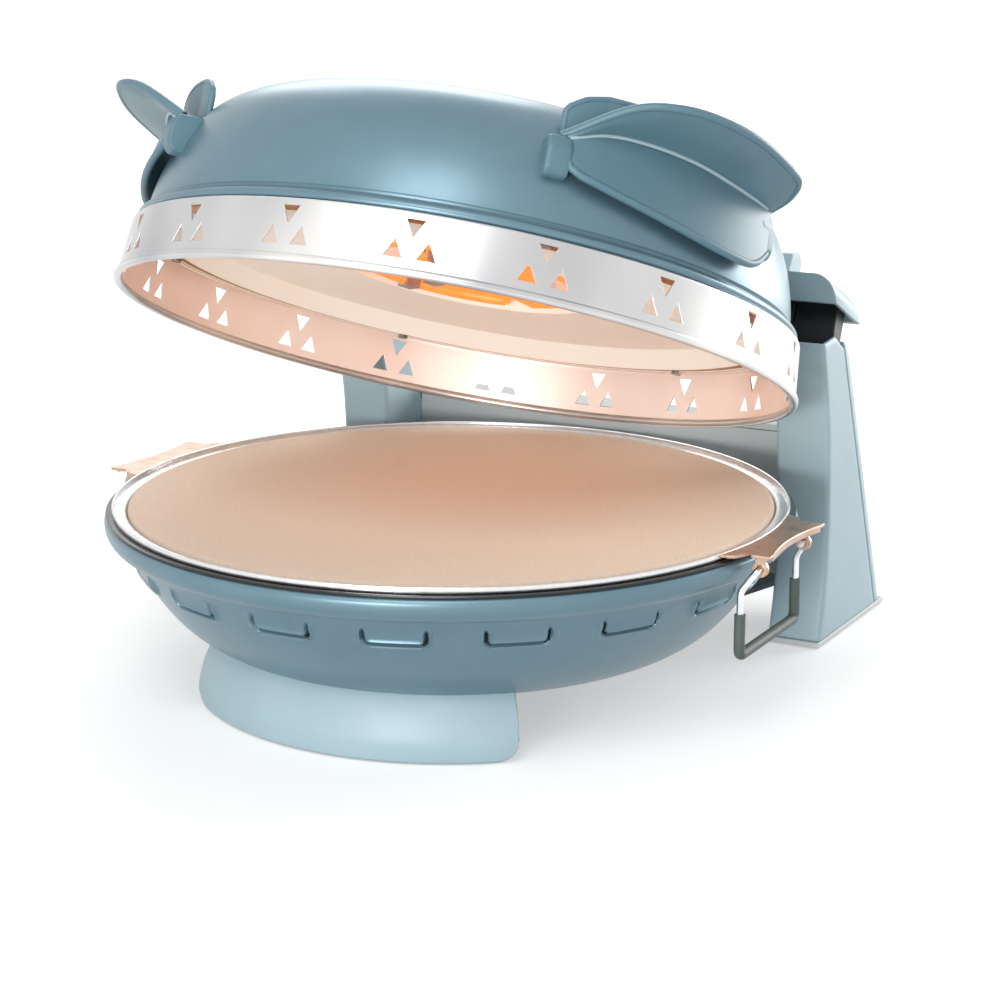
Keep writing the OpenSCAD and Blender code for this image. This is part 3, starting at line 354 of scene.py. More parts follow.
foot_profile = smooth_curve([[127.5, 34], [132.0, 25], [135.2, 13], [135.4, 6], [134.6, 0.8]], 24)
foot_angles = np.radians(np.concatenate([
    np.linspace(-foot_half_angle, -36, 16)[:-1], np.linspace(-36, 36, 49), np.linspace(36, foot_half_angle, 16)[1:]]))
end_gap = np.minimum(np.radians(foot_half_angle) - np.abs(foot_angles), 1) * 136
lowest = 0.8 + foot_corner - np.sqrt(np.maximum(foot_corner ** 2 - np.maximum(foot_corner - end_gap, 0) ** 2, 0))
share = np.linspace(0, 1, 24)[:, None]
foot_heights = 34 - share * (34 - lowest[None])
foot_radii = np.interp(-foot_heights, -foot_profile[:, 1], foot_profile[:, 0])
foot_surface = np.stack([
    foot_radii * np.sin(foot_angles), -foot_radii * np.cos(foot_angles), foot_heights], axis=-1)
foot_parts = rounded_plate(foot_surface, foot_plate)
floor_profile = [[96, 23], [127.5, 23], [127.5, 25.9], [96, 25.9]]
floor_angles = np.radians(np.linspace(-foot_half_angle + 2, foot_half_angle - 2, 40))
floor_plate = lathe(floor_profile, floor_angles)
foot_parts.append((floor_plate, grid_faces(4, 40, True)))
foot_parts += [(lathe(floor_profile, [side]), [[0, 1, 2, 3]]) for side in floor_angles[[0, -1]]]
boss_turn = np.linspace(0, 2 * math.pi, 25)[:-1]
for side in np.radians([-30, 30]):
    boss = np.stack([
        115 * math.sin(side) + 10 * np.cos(boss_turn), -115 * math.cos(side) + 10 * np.sin(boss_turn), 0 * boss_turn], axis=-1)
    levels = np.array([5.0, 23.5])[:, None, None] * [0, 0, 1]
    foot_parts.append((boss[None] + levels, grid_faces(2, 24, False, True)))
    foot_parts += [(boss + [0, 0, level], [range(24)]) for level in (5.0, 23.5)]
add_piece("front_apron", placed(foot_parts, in_base), [satin_moulding], "base", ["front_foot"])

# Rear pillars
# Two hollow moulded pillars stand behind the bowl and carry the lid's hinge. Each has a front housing
# with a curved face and a leaning rear cover clipped on along a seam. Pale plates with pads close them below.
pillar_in = 124.0
pillar_out = 155.0
pillar_wall = 2.5
pillar_edge = 3.0
plate_top = 3.8
lean = math.radians(22.1)
seam = 211.0
seam_gap = 0.3
cover_radius = 26.0
back_limit = 245.0
bead_notch = (134.0, 158.0)
arm_slot = (129.5, 142.5, 127.0)
front_curve = smooth_curve([[137, 3.8], [143, 30], [145, 60], [144, 90], [141.5, 118], [136, 146], [129, 172]], 60)


def mirrored(parts):
    """The same parts on the machine's left side."""
    return [(np.asarray(points) * [-1, 1, 1], faces) for points, faces in parts]


def leaning_y(distance, height):
    """Y at a height of a plane that leans back by the lean angle, at a distance from the bowl's axis."""
    return (distance - math.sin(lean) * height) / math.cos(lean)


def pillar_surface(inset):
    """Front housing: an outline round its inner side, front and outer side, carried up the curved front face."""
    left, right, bend_radius = pillar_in + inset, pillar_out - inset, pillar_edge - inset
    corner_turn = np.radians(np.linspace(0, 90, 7))
    depth = np.linspace(1, 0, 16)
    zero = np.zeros
    x = np.concatenate([np.full(15, left), left + bend_radius * (1 - np.cos(corner_turn)),
                        [bead_notch[0] - 2, bead_notch[0] - 0.02, bead_notch[0] + 0.02, bead_notch[0] + 3, 145],
                        right - bend_radius * (1 - np.sin(corner_turn)), np.full(15, right)])
    ahead = np.concatenate([np.full(15, bend_radius), bend_radius * (1 - np.sin(corner_turn)), zero(5),
                            bend_radius * (1 - np.cos(corner_turn)), np.full(15, bend_radius)])
    back = np.concatenate([depth[:-1], zero(19), depth[::-1][1:]])
    rough_y = 132 + back * 28
    top = np.where(x < bead_notch[0], bead_notch[1], np.interp(rough_y, [129, 149, 160], [172, 173.6, 165]))
    height = plate_top + np.linspace(0, 1, 44)[:, None] * (top - plate_top)[None]
    front = np.interp(height, front_curve[:, 1], front_curve[:, 0]) + inset
    rear = leaning_y(seam - seam_gap, height)
    y = front + ahead + (rear - front - ahead) * back
    return np.stack([np.broadcast_to(x, height.shape), y, height], axis=-1)


def cover_surface(inset):
    """Rear cover: an outline round its outer corner and flat back, carried up the leaning line and cut off above."""
    turn = np.radians(np.linspace(0, 90, 16))
    radius = cover_radius - inset
    slot_columns = [arm_slot[1] + 0.02, arm_slot[1] - 0.02, arm_slot[0] + 0.02, arm_slot[0] - 0.02]
    centre = pillar_out - cover_radius
    x = np.concatenate([centre + radius * np.cos(turn), [centre - 1, pillar_in + inset], np.full(8, pillar_in + inset)])
    distance = np.concatenate([seam + radius * np.sin(turn), np.full(2, seam + radius), seam + radius * np.linspace(0.97, 0, 8)])
    near = np.arccos(np.clip((np.array(slot_columns[:2]) - centre) / radius, -1, 1))
    x = np.insert(x, 16, slot_columns[2:])
    distance = np.insert(distance, 16, [seam + radius] * 2)
    order = np.searchsorted(turn, near)
    x = np.insert(x, order, slot_columns[:2])
    distance = np.insert(distance, order, seam + radius * np.sin(near))
    distance = np.maximum(distance, seam + seam_gap)
    cut_y = (distance - math.sin(lean) * 314.7) / (math.cos(lean) - 0.905 * math.sin(lean))
    top = np.minimum(314.7 - 0.905 * cut_y, 169 + 0 * cut_y)
    top = np.where((x > arm_slot[0]) & (x < arm_slot[1]) & (distance > seam + 15), arm_slot[2], top)
    height = plate_top + np.linspace(0, 1, 44)[:, None] ** 1.1 * (top - plate_top)[None]
    y = leaning_y(distance[None], height)
    limit = back_limit - inset - 4 * np.clip((9 - height) / 5.2, 0, 1) ** 1.6
    near_limit = np.exp(np.clip(-(limit - y) / 1.5, -40, 40))
    y = np.where(distance > seam + 3, y - 1.5 * np.log1p(near_limit), y)
    return np.stack([np.broadcast_to(x, height.shape), y, height], axis=-1)


for side, turned_over in (("right", list), ("left", mirrored)):
    housing = turned_over(rounded_plate(pillar_surface(pillar_wall / 2), pillar_wall))
    add_piece("pillar_front_" + side, placed(housing, in_base), [satin_moulding], "base", ["pillar_" + side])
    cover = turned_over(rounded_plate(cover_surface(pillar_wall / 2), pillar_wall))
    add_piece("pillar_cover_" + side, placed(cover, in_base), [satin_moulding], "base", ["rear_cover_" + side])

pale_moulding, tree, shader, coords = new_finish("pale_grey_moulded_plastic", Roughness=0.45, IOR=1.48)
grain(tree, shader, coords, 0.5, 0.03, 0.4)
vary(tree, shader, coords, "C3C8C8", "CDD1D1", 35)
soft_rubber, tree, shader, coords = new_finish("matt_silicone_rubber", Roughness=0.55, IOR=1.42)
roughen(tree, shader, grain(tree, shader, coords, 0.8, 0.04), 0.48, 0.62)
vary(tree, shader, coords, "4E5853", "57625C", 9)


def soften(width_mm, *nodes, facet_degrees=2):
    """Rounds a CAD node's edges: joins its triangles, merges flat ones and bevels what turns sharply."""
    for name in nodes:
        node = frame["nodes"][name]
        node.modifiers.new("join", "WELD").merge_threshold = 1e-5
        flat = node.modifiers.new("flat", "DECIMATE")
        flat.decimate_type = "DISSOLVE"
        flat.angle_limit = math.radians(facet_degrees)
        bevel = node.modifiers.new("edges", "BEVEL")
        bevel.width = width_mm * MM
        bevel.segments = 3
        bevel.limit_method = "ANGLE"
        bevel.angle_limit = math.radians(30)
        bevel.use_clamp_overlap = True
        bevel.harden_normals = True


dress(pale_moulding, "pillar_foot_right", "pillar_foot_left", "rear_bridge", "bridge_cap")
soften(0.8, "pillar_foot_right", "pillar_foot_left", "rear_bridge", "bridge_cap")
dress(soft_rubber, "foot_pads")
soften(0.4, "foot_pads")

# Controls and mains inlet
# The thermostat knob and its lamp sit low on the left pillar; a recessed inlet with three brass pins
# is let into the back of the bridge. Knob and inlet are matt black mouldings, the lamp a clear amber one.
matt_black, tree, shader, coords = new_finish("matt_black_moulded_plastic", Roughness=0.5, IOR=1.48)
roughen(tree, shader, grain(tree, shader, coords, 0.4, 0.04), 0.44, 0.58)
vary(tree, shader, coords, "191A1C", "232527", 12)
amber_lens, tree, shader, coords = new_finish("clear_amber_lens", Roughness=0.15, IOR=1.49)
shader.inputs["Transmission Weight"].default_value = 0.35
vary(tree, shader, coords, "E07A1E", "F29A3A", 2)
dress(matt_black, "power_inlet", "thermostat_knob")
soften(0.5, "power_inlet", "thermostat_knob")
dress(amber_lens, "indicator_lens")
soften(0.3, "indicator_lens")

# Stone and its steel tray
# The baking stone is a fired cordierite disc, cream, unglazed and finely speckled. It sits in a bright
# ring of rolled stainless strip; two pressed saddle plates on the ring carry the lifting bails.
cordierite, tree, shader, coords = new_finish("fired_cordierite", Roughness=0.85, IOR=1.5)
grain(tree, shader, coords, 0.7, 0.08, 0.7)
speckle = vary(tree, shader, coords, "D8C2AC", "EAD9C8", 0.9, detail=6)
stone_profile = np.concatenate([
    [[0, 88], [164, 88]], arc((166, 90), (2, 2), -90, 0, 6), arc((165.6, 97.3), (2.4, 2.4), 0, 90, 7), [[150, 99.7], [0, 99.7]]])
add_turned("baking_stone", stone_profile, cordierite, "base", ["pizza_stone"], in_base)

bright_stainless, tree, shader, coords = new_finish("bright_rolled_stainless", Metallic=1.0, Roughness=0.2)
roughen(tree, shader, vary(tree, shader, coords, "DCDCDD", "E6E6E7", 7), 0.17, 0.25)
tray_profile = np.concatenate([
    [[162, 86.8], [168.4, 86.8]], arc((168.4, 87.8), (1, 1), -80, 0, 4), [[169.4, 96.2]],
    arc((170.4, 96.4), (1.0, 0.8), 180, 100, 4), [[175.0, 97.2]], arc((175, 98.2), (1.0, 1.0), -80, 0, 4),
    arc((175.4, 100.1), (0.6, 0.6), 0, 180, 9), [[174.8, 98.4], [170.4, 98.4]], arc((170.4, 96.4), (2.2, 2.0), 100, 180, 5),
    [[168.2, 88], [162, 88]]])
add_turned("tray_rim", tray_profile, bright_stainless, "base", ["tray_ring"], in_base)
tinted_stainless, tree, shader, coords = new_finish("straw_tinted_stainless", Metallic=1.0, Roughness=0.3)
roughen(tree, shader, vary(tree, shader, coords, "B59884", "C9AE9A", 9), 0.26, 0.34)
dress(tinted_stainless, "tray_bracket_right", "tray_bracket_left")
soften(0.35, "tray_bracket_right", "tray_bracket_left")

# Tray bails
# Each bail is one bent length of polished steel wire that hangs in two ears of its saddle plate.
# A grey silicone sleeve is pushed over the crossbar and the lower part of both legs.
bail_x = 185.4
bail_z = 91.6
bail_knee = 31.25
bail_leg = (178.6, 35.8, 81.5)
bar_z = 49.0
wire_radius = 1.75
sleeve_radius = 2.75
sleeve_rise = 21.0
wire_end = 24.0


def rounded_path(points, radius, steps=7):
    """A path through points with each corner eased by a parabola that leaves it radius away."""
    points = np.asarray(points, float)
    path = [points[:1]]
    t = np.linspace(0, 1, steps)[:, None]
    for before, corner, after in zip(points[:-2], points[1:-1], points[2:]):
        start = corner + (before - corner) / np.linalg.norm(before - corner) * radius
        end = corner + (after - corner) / np.linalg.norm(after - corner) * radius
        path.append((1 - t) ** 2 * start + 2 * t * (1 - t) * corner + t ** 2 * end)
    return np.concatenate(path + [points[-1:]])


def tube(path, radii, reference, sides=20):
    """A round bar along a path, with a radius at each point: rings square to the path, turned from a reference direction."""
    forward = np.gradient(path, axis=0)
    forward /= np.linalg.norm(forward, axis=1, keepdims=True)
    across = np.cross(forward, reference)
    across /= np.linalg.norm(across, axis=1, keepdims=True)
    up = np.cross(forward, across)
    turn = np.linspace(0, 2 * math.pi, sides + 1)[:-1]
    rings = (np.cos(turn)[None, :, None] * across[:, None] + np.sin(turn)[None, :, None] * up[:, None])
    points = path[:, None] + np.broadcast_to(radii, len(path))[:, None, None] * rings
    return [(points, grid_faces(len(path), sides, False, True)), (points[0], [range(sides)]), (points[-1], [range(sides)])]


def bail_route(ear, rise):
    """Centre line of the wire; rise shortens it to a height above the crossbar, for the sleeve."""
    low = [bail_leg[0], bail_leg[1], bar_z]
    half = [[bail_x, ear, bail_z], [bail_x, bail_knee, bail_z], list(bail_leg), low]
    if rise:
        half = [[bail_leg[0], bail_leg[1], bar_z + rise], low]
    return half + [[x, -y, z] for x, y, z in half[::-1]]


polished_wire, tree, shader, coords = new_finish("polished_steel_wire", Metallic=1.0, Roughness=0.12)
roughen(tree, shader, vary(tree, shader, coords, "E4E5E7", "EEEFF0", 4), 0.1, 0.18)
wire = tube(rounded_path(bail_route(wire_end, 0), 2.4), wire_radius, (1, 0.02, 0.01))
sleeve_path = rounded_path(bail_route(0, sleeve_rise), 4.2, 9)
sleeve_ends = np.minimum(np.linalg.norm(sleeve_path - sleeve_path[0], axis=1), np.linalg.norm(sleeve_path - sleeve_path[-1], axis=1))
sleeve = tube(sleeve_path, sleeve_radius, (1, 0.02, 0.01))
for side, turned_over in (("right", list), ("left", mirrored)):
    body = "bail_" + side + "_swing"
    add_piece("bail_wire_" + side, placed(turned_over(wire), in_base), [polished_wire], body, ["bail_" + side])
    add_piece("bail_sleeve_" + side, placed(turned_over(sleeve), in_base), [soft_rubber], body, ["bail_grip_" + side])

# Lid dome
# The lid's shell is drawn steel sheet with a rolled lip above the band, painted like the bowl. The lid
# turns with all that is on it about the pins in the pillars, and stands open here.
hinge_joint = next(joint for joint in frame["joints"] if joint["name"] == "lid_hinge")
hinge_point = np.array(hinge_joint["pos_m"]) / MM - [0, bowl_axis_y, 0]
lid_angle = math.radians(-hinge_joint["range_deg"][0])
lid_level = 106.0
band_height = 28.0


def in_lid(points):
    """Millimetres in the shut lid, with heights from the band's lower edge, as metres in the frame with the lid open."""
    shut = np.asarray(points, float) + [0, 0, lid_level] - hinge_point
    x, y, z = shut[..., 0], shut[..., 1], shut[..., 2]
    turned = np.stack([
        x, y * math.cos(lid_angle) + z * math.sin(lid_angle), z * math.cos(lid_angle) - y * math.sin(lid_angle)], axis=-1)
    return in_base(turned + hinge_point)


def dome_wall(steps):
    """Outer wall of the dome: r = 167.8 * (1 - s ** 1.475) ** (1 / 8.07) as height rises by s from 36 to 105.7 mm."""
    s = np.asarray(steps, float)
    return np.stack([167.8 * (1 - s ** 1.475) ** (1 / 8.07), 36 + 69.7 * s], axis=-1)


dome_steps = np.concatenate([np.linspace(0.008, 0.8, 34), 1 - np.geomspace(0.18, 2e-5, 26)])
dome_outer = np.concatenate([
    [[164, band_height + 0.1], [170.4, band_height + 0.1]], arc((170.6, 30.6), (2.1, 2.4), -80, 88, 12),
    [[169.2, 33.2], [167.6, 33.9], [167.0, 34.9], [167.2, 35.8]], dome_wall(dome_steps), [[0, 105.7]]])
dome_inner = np.concatenate([[[0, 104.2]], dome_wall(np.linspace(0.97, 0.03, 16)) - [sheet, sheet], [[164, 31]]])
add_turned("painted_dome", np.concatenate([dome_outer, dome_inner]), satin_paint, "lid", ["lid_dome"], in_lid)

# Steel band
# A ring of bright rolled steel under the dome, welded up from pierced strip and flanged inward at the top.
# Eighteen groups of three triangles let heat and light out. A hollow steel bead is rolled under its edge.
band_low = 177.0
band_high = 174.5
band_sheet = 0.8
ray_step = math.radians(20)
upright_x = 7.8
triangle_half = 4.5
upright_span = (5.5, 14.3)
inverted_span = (15.2, 24.2)

# The broad upright patches of darker and lighter grey on this steel are painted reflection: they stand in for the
# surroundings mirrored in the band.
rolled_steel, tree, shader, coords = new_finish("bright_cold_rolled_steel", Metallic=1.0, Roughness=0.3)
roughen(tree, shader, vary(tree, shader, coords, "B8B8BB", "E8E7E5", 60, 1.0, (1, 1, 0.2)), 0.27, 0.34)
# The band's inner skin is the same steel coloured peach: painted reflection of the cream ceiling and of the heater's
# orange glow.
warm_reflection_steel, tree, shader, coords = new_finish("rolled_steel_painted_warm_reflection", Metallic=0.9, Roughness=0.4)
roughen(tree, shader, vary(tree, shader, coords, "F9E4D9", "FFF1E9", 40, 1.0, (1, 1, 0.2)), 0.36, 0.45)


def band_grid():
    """The pierced band: rows up the cone and round the bend of its flange, and in every group columns that
    close in on the triangles' slanting sides, at x = centre +- half width * (apex - z) / height."""
    heights = np.concatenate([
        [-0.8, 2], np.linspace(*upright_span, 8), np.linspace(*inverted_span, 8), [26.2]])
    bend = arc((band_high - 1.9, band_height - 1.4), (2.0, 1.4), 4, 90, 6)
    radii = band_low + (band_high - band_low) * (heights + 0.8) / (band_height + 0.8)
    profile = np.concatenate([np.stack([radii, heights], axis=-1), bend, [[168, band_height], [163, band_height]]])
    rise = profile[:, 1].copy()
    rise[len(heights):] = band_height
    shut = triangle_half * np.clip((upright_span[1] - rise) / (upright_span[1] - upright_span[0]), 0, 1)
    open_up = triangle_half * np.clip((rise - inverted_span[0]) / (inverted_span[1] - inverted_span[0]), 0, 1)
    half_pitch = ray_step / 2 * band_low
    share = np.linspace(0, 1, 6)[None, :-1]
    first = (-half_pitch * (1 - share) + (-upright_x - shut)[:, None] * share)
    inner = np.stack([-upright_x - shut, -upright_x + shut, -open_up, open_up, upright_x - shut, upright_x + shut], axis=-1)
    last = ((upright_x + shut)[:, None] * (1 - share) + half_pitch * share)[:, 1:]
    across = np.concatenate([first, inner, last], axis=-1) / band_low
    angles = (across[:, None] + np.arange(18)[None, :, None] * ray_step).reshape(len(profile), -1)
    points = np.stack([
        profile[:, :1] * np.sin(angles), -profile[:, :1] * np.cos(angles),
        np.broadcast_to(profile[:, 1:], angles.shape)], axis=-1)
    faces = grid_faces(*angles.shape, False, True).reshape(len(profile) - 1, 18, -1, 4)
    keep = np.ones(faces.shape[:3], bool)
    level = rise[:-1] + 0.01
    low = (level > upright_span[0]) & (level < upright_span[1])
    high = (level > inverted_span[0]) & (level < inverted_span[1])
    for strip, rows in ((5, low), (9, low), (7, high)):
        keep[rows, :, strip] = False
    return points, faces[keep]


band_points, band_faces = band_grid()
band = add_piece("pierced_band", [(in_lid(band_points), band_faces)], [rolled_steel], "lid", ["lid_band"])
# The inner skin takes the peach painted reflection.
band.data.materials.append(warm_reflection_steel)
thick = band.modifiers.new("sheet", "SOLIDIFY")
thick.thickness = band_sheet * MM
thick.offset = -1
thick.use_even_offset = True
thick.material_offset = 1
edges = band.modifiers.new("edges", "BEVEL")
edges.width = 0.15 * MM
edges.segments = 2
edges.limit_method = "ANGLE"
edges.angle_limit = math.radians(50)
edges.harden_normals = True
add_turned("rolled_bead", arc((176.3, -0.8), (2.2, 2.2), 0, 345, 24), rolled_steel, "lid", ["band_bead"], in_lid)

# Lid ceiling and upper heater
# The lid's inner face is pressed steel coated in cream heat-proof enamel and raised in a step all round;
# narrow rings at the step's bend and at a small bead beside it are coloured brown. Two loops of sheathed heater glow
# orange in a recess at its middle.
cream_enamel, tree, shader, coords = new_finish("cream_heatproof_enamel", Roughness=0.5, IOR=1.5)
roughen(tree, shader, grain(tree, shader, coords, 6, 0.15, 0.4), 0.45, 0.58)
vary(tree, shader, coords, "FDF5EA", "FFFAF3", 60)
# Brown for two narrow rings of the ceiling, at the step's bend and at the small bead beside it.
brown_ring_finish, tree, shader, coords = new_finish("brown_ringed_steel", Metallic=0.8, Roughness=0.4)
vary(tree, shader, coords, "A8713F", "C08B58", 8)
ceiling_rows = np.concatenate([
    [[0, 43], [66, 43], [70, 35], [110, 35], [146, 35]], arc((148.4, 38.2), (2.4, 3.2), -90, -45, 4),
    arc((160.2, 24.0), (2.4, 2.4), 135, 90, 5), [[164.6, 26.4]], arc((165.6, 25.4), (1.0, 0.6), 120, 60, 3), [[166.6, 26.4], [170.6, 26.4]],
    [[170.6, 27.2], [161, 27.2]], [[151.5, 36], [70.6, 36], [66.6, 44], [0, 44]]])
ceiling_points = lathe(ceiling_rows, np.linspace(0, 2 * math.pi, 361)[:-1])
# The rows at the step's bend and at the small bead take the brown.
brown_ring_row = ((ceiling_rows[:, 0] > 157) & (ceiling_rows[:, 0] < 161)) | ((ceiling_rows[:, 0] > 164.9) & (ceiling_rows[:, 0] < 166.4))
ceiling_faces = grid_faces(len(ceiling_rows), 360, True, True)
add_piece("cream_ceiling", [(in_lid(ceiling_points), ceiling_faces)], [cream_enamel, brown_ring_finish], "lid",
          ["lid_ceiling"], dark_faces=np.repeat(brown_ring_row, 360))

glowing_sheath, tree, shader, coords = new_finish("glowing_heater_sheath", Metallic=0.6, Roughness=0.5)
vary(tree, shader, coords, "A86038", "C87A48", 10)
shader.inputs["Emission Color"].default_value = from_hex("FF8236")
shader.inputs["Emission Strength"].default_value = 1.2
dress(glowing_sheath, "upper_heating_element")

# Hinge arms and caps
# A cast arm runs from each flank of the dome back to the hinge pin in the pillar; its matt black is painted shade.
# Grey-blue mouldings clip over it: a cap above the pillar with a matt black sheet beneath it, painted shade in the gap
# there, and a saddle by the dome.
hinge_edge = 0.8
saddle_outline = [[-73.5, 47.5], [-79, 53.9], [-59, 53.9], [-44, 51.4], [-37.6, 48.2], [-42, 46.5]]
stop_outline = [[-58.5, 50], [-56.5, 68.5], [-46, 71.6], [-40.5, 68.5], [-40.5, 47]]
rim_outline = [[-72, 51], [-59, 51], [-44.5, 48.8], [-35, 45.3], [-37, 32], [-47.5, 30], [-47.5, 43.5], [-66, 43.5]]
shade_sheet_outline = rim_outline[:4] + [[-34.5, 22], [-44, 20]] + rim_outline[5:]
apron_outline = [[-66, 46], [-44.5, 46], [-36, 44], [-38, 21], [-47.5, 19], [-47.5, 40], [-66, 40]]


def prism(outline, near, far):
    """An outline of distance and height from the hinge pin, in the shut lid, carried across from x = near to far."""
    profile = np.asarray(outline, float) + hinge_point[1:] - [0, lid_level]
    points = np.stack([np.insert(profile, 0, x, axis=1) for x in (near, far)])
    return [(points, grid_faces(2, len(profile), False, True)), (points[0], [range(len(profile))]),
            (points[1], [range(len(profile))])]


def ease_edges(piece, width_mm):
    """Rounds every edge that turns by more than 30 degrees."""
    bevel = piece.modifiers.new("edges", "BEVEL")
    bevel.width = width_mm * MM
    bevel.segments = 3
    bevel.limit_method = "ANGLE"
    bevel.angle_limit = math.radians(30)
    bevel.harden_normals = True


dress(satin_moulding, "hinge_cap_right", "hinge_cap_left")
soften(hinge_edge, "hinge_cap_right", "hinge_cap_left")
# The arms' matt black is painted shade in the gap under the caps.
dress(matt_black, "hinge_arm_right", "hinge_arm_left")
soften(hinge_edge, "hinge_arm_right", "hinge_arm_left")
for side, turned_over in (("right", list), ("left", mirrored)):
    saddle = prism(saddle_outline, 88, 127.6) + prism(stop_outline, 110.6, 124.4)
    ease_edges(add_piece("arm_saddle_" + side, placed(turned_over(saddle), in_lid), [satin_moulding], "lid"),
               hinge_edge)
    # A matt black sheet under the cap, reaching down into the pillar: painted shade in the gap between cap, arm and
    # pillar.
    shade_sheet = prism(shade_sheet_outline, 128.2, 152) + prism(rim_outline, 124.2, 127.4) + prism(apron_outline, 108, 123.6)
    ease_edges(add_piece("cap_shade_sheet_" + side, placed(turned_over(shade_sheet), in_lid), [matt_black], "lid"),
               hinge_edge)

# Side handles
# Each grip is moulded plastic, drawn in a darker slate-blue as painted shade: a panel that stands off the dome, an
# outer leaf that flares up from the crease, and an inner leaf that leans to the dome, all with rolled edges. Two blocks
# screw it on.
panel_plate = 3.0
edge_roll = 2.0
crease = smooth_curve([[39.5, 75.8], [46.2, 82.5], [53.5, 84.3], [63.2, 83.6], [73.3, 80.7], [84.8, 77.7]], 60)
lower_edge = smooth_curve([[41.5, 60.8], [52.3, 53.5], [65.5, 46.8], [74.6, 45.0], [78.6, 47.2], [82, 54.4]], 60)
leaf_edge = smooth_curve([
    [104.6, -126.9, 77.5], [136.5, -123.8, 92.6], [157.8, -114.2, 96.7], [172.4, -94.0, 97.1], [181.7, -69.0, 95.1],
    [185.0, -37.6, 91.5], [183.3, -25.4, 88.8], [174.7, -16.8, 83.6], [164, -14.4, 77.9]], 60)
inner_edge = np.array([
    [-65, 77], [-64.5, 86], [-61, 93.5], [-54, 98.5], [-44, 101.2], [-30, 101.6], [0, 98], [30, 90], [52, 82], [64, 76]])
inner_lean = np.array([-4.4, 9.5, 2.7])
grip_blocks = (
    ((37.2, 41.2), [[150, 56.5], [168.5, 57], [171.6, 61], [171.4, 70.5], [168.2, 76.5], [150, 77.5]]),
    ((80.5, 85.2), [[150, 52], [169, 52.5], [171, 57], [170.2, 69], [166.0, 78], [150, 79]]))


def about_dome(degrees, radius, height):
    """A point at an angle from the front, a radius and a height about the dome's axis."""
    turn = np.radians(degrees)
    return np.stack(np.broadcast_arrays(radius * np.sin(turn), -radius * np.cos(turn), height), axis=-1)


def grip_block(start, end, outline):
    """A block between two angles: its outline of radius and height shrinks by a quarter circle towards each end."""
    outline = np.array(outline, float)
    corners = rounded_path(np.concatenate([outline, outline[:1]]), 1.7, 5)[:-1]
    turn = np.linspace(-90, 90, 15)
    slices = (start + end) / 2 + (end - start) / 2 * np.sin(np.radians(turn))
    inset = 1.3 * (1 - np.cos(np.radians(np.clip(np.abs(turn) - 35, 0, 55) * 90 / 55)))
    inward = corners.mean(axis=0) - corners
    inward /= np.linalg.norm(inward, axis=1, keepdims=True)
    sections = corners[None] + inward[None] * inset[:, None, None]
    body = about_dome(slices[:, None], sections[..., 0], sections[..., 1])
    count = len(corners)
    return [(body, grid_faces(len(slices), count, False, True)), (body[0], [range(count)]), (body[-1], [range(count)])]


def handle_parts():
    """Panel, leaves and the floor between them as ruled surfaces between their edges, with rolled rims and blocks."""
    down = np.linspace(0, 1, 24)[:, None]
    degrees = crease[:, 0] * (1 - down) + lower_edge[:, 0] * down
    height = crease[:, 1] * (1 - down) + lower_edge[:, 1] * down
    panel = about_dome(degrees, 164.5 + (84 - height) / 4, height)
    parts = rounded_plate(panel, panel_plate)
    outwards = (0.87, -0.5, 0)
    parts += tube(np.concatenate([panel[:-3, 0], panel[-1, 2:]]), edge_roll, outwards, 16)
    root = about_dome(crease[:, 0], 164.5, crease[:, 1])
    out = np.linspace(0, 1, 20)[:, None, None]
    rim = root + (leaf_edge - root) * 0.955
    parts += rounded_plate(root * (1 - out) + rim * out + np.sin(out * math.pi) * [0, 0, -1.2], 2.6)
    parts += tube(rim, edge_roll, (0, 0, 1), 16)
    side = 162 * np.sin(np.radians(crease[:, 0] - 62))
    lean_share = np.interp(side, [-66, -44, -20, 5, 40], [1, 1, 0.5, 0.1, 0])[:, None] * inner_lean
    foot = crease[:, 1] - 2
    top = np.maximum(np.interp(side, inner_edge[:, 0], inner_edge[:, 1]) - 1.5, foot + 1.5)
    lift = np.linspace(1, 0, 12)[:, None]
    inner = about_dome(crease[:, 0], 162 + 0 * lift, foot + (top - foot) * lift) + lean_share
    parts += rounded_plate(inner, panel_plate)
    parts += tube(np.concatenate([inner[:0:-1, 0], inner[0]]), 1.8, outwards, 16)
    parts += rounded_plate(root * (1 - out[:8] / out[7]) + inner[-1] * (out[:8] / out[7]), 2.4)
    for (start, end), outline in grip_blocks:
        parts += grip_block(start, end, outline)
    return parts


def crease_bead():
    """A thin bead moulded along the crease, where the panel's top edge stands proud of the leaf. It is drawn in the
    paler moulding as a painted highlight.
    """
    line = crease[2:-2]
    return tube(about_dome(line[:, 0], 167.4, line[:, 1] - 0.9), 1.0, (0, 0, 1), 12)


# The grips take a darker copy of the grey-blue moulding: the darkening is painted shade.
shaded_grip_moulding, tree, shader, coords = new_finish("satin_moulding_painted_shade", Roughness=0.4, IOR=1.48)
roughen(tree, shader, grain(tree, shader, coords, 0.5, 0.03, 0.4), 0.36, 0.44)
vary(tree, shader, coords, "567784", "5C7D8A", 40)
grip = handle_parts()
for side, turned_over in (("right", list), ("left", mirrored)):
    add_piece("side_grip_" + side, placed(turned_over(grip), in_lid), [shaded_grip_moulding], "lid", ["lid_handle_" + side])
    # The bead takes the paler moulding as a painted highlight along the crease.
    add_piece("crease_bead_" + side, placed(turned_over(crease_bead()), in_lid), [satin_moulding], "lid")

# Studio
# A plain pale floor, two broad soft lamps and a low sky, and the camera at the photograph's angle.
floor_material = bpy.data.materials.new("studio_floor")
floor_material.use_nodes = True
tree = floor_material.node_tree
tree.nodes.clear()


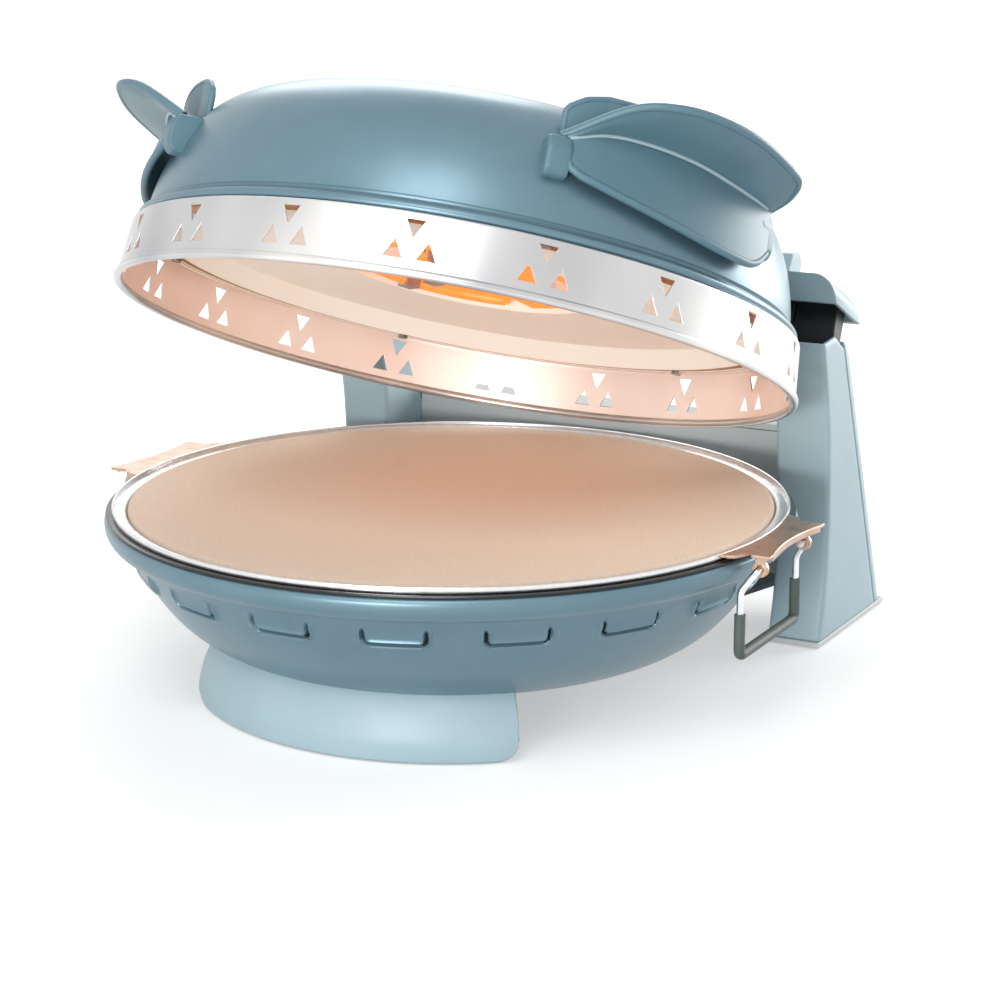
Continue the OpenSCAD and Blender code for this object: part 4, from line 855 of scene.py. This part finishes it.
def seen_rays(tree):
    """1 where the camera sees a surface directly, mirrored or through glass, and 0 where it only gives light."""
    rays = add_node(tree, "ShaderNodeLightPath").outputs
    seen = add_node(tree, "ShaderNodeMath", {0: rays["Is Camera Ray"], 1: rays["Is Glossy Ray"]}, operation="MAXIMUM")
    return add_node(tree, "ShaderNodeMath", {0: seen.outputs[0], 1: rays["Is Transmission Ray"]}, operation="MAXIMUM").outputs[0]


seen = seen_rays(tree)
away = add_node(tree, "ShaderNodeVectorMath", {0: add_node(tree, "ShaderNodeTexCoord").outputs["Object"]}, operation="LENGTH")
lift = add_node(tree, "ShaderNodeMapRange", {
    "Value": away.outputs["Value"], "From Min": 0.5, "From Max": 2.5, "To Min": 0.42, "To Max": 0.9})
lift = add_node(tree, "ShaderNodeMath", {0: lift.outputs["Result"], 1: seen}, operation="MULTIPLY")
paleness = add_node(tree, "ShaderNodeMapRange", {"Value": seen, "To Min": 0.6, "To Max": 0.7})
floor_matt = add_node(tree, "ShaderNodeBsdfDiffuse", {"Color": paleness.outputs["Result"]})
floor_white = add_node(tree, "ShaderNodeEmission", {"Strength": lift.outputs["Value"]})
floor_sum = add_node(tree, "ShaderNodeAddShader", {0: floor_matt.outputs["BSDF"], 1: floor_white.outputs["Emission"]})
add_node(tree, "ShaderNodeOutputMaterial", {"Surface": floor_sum.outputs["Shader"]})
floor_mesh = bpy.data.meshes.new("floor")
floor_mesh.from_pydata([(-6, -6, 0), (6, -6, 0), (6, 6, 0), (-6, 6, 0)], [], [(0, 1, 2, 3)])
floor_mesh.materials.append(floor_material)
floor = bpy.data.objects.new("floor", floor_mesh)
bpy.context.scene.collection.objects.link(floor)

world = bpy.data.worlds.new("studio_sky")
bpy.context.scene.world = world
world.use_nodes = True
tree = world.node_tree
tree.nodes.clear()
strength = add_node(tree, "ShaderNodeMapRange", {"Value": seen_rays(tree), "To Min": 0.5, "To Max": 1.0})
sky = add_node(tree, "ShaderNodeBackground", {"Color": (1, 1, 1, 1), "Strength": strength.outputs["Result"]})
add_node(tree, "ShaderNodeOutputWorld", {"Surface": sky.outputs["Background"]})


def add_lamp(name, place, target, size, watts):
    """A square soft lamp of a size in metres that faces a target."""
    lamp = bpy.data.lights.new(name, "AREA")
    lamp.energy = watts
    lamp.size = size
    holder = bpy.data.objects.new(name, lamp)
    holder.location = place
    holder.rotation_euler = (Vector(target) - Vector(place)).to_track_quat("-Z", "Y").to_euler()
    bpy.context.scene.collection.objects.link(holder)


add_lamp("key", (0.45, -1.8, 2.1), (0, 0, 0.12), 1.2, 26)
add_lamp("right", (1.15, 1.85, 0.45), (0, 0, 0.12), 1.2, 38)
add_lamp("back", (-1.1, 1.6, 1.5), (0, 0, 0.15), 1.2, 16)
add_lamp("low_front", (0.2, -1.5, 0.1), (0, 0, 0.3), 0.5, 16)

lens = bpy.data.cameras.new("camera")
lens.lens = 89.5
lens.sensor_width = 36
camera = bpy.data.objects.new("camera", lens)
camera.location = (0.6083, -1.1150, 0.4115)
camera.rotation_euler = (math.radians(75.98), 0, math.radians(28.36))
bpy.context.scene.collection.objects.link(camera)
bpy.context.scene.camera = camera
bpy.context.scene.view_settings.view_transform = "Standard"
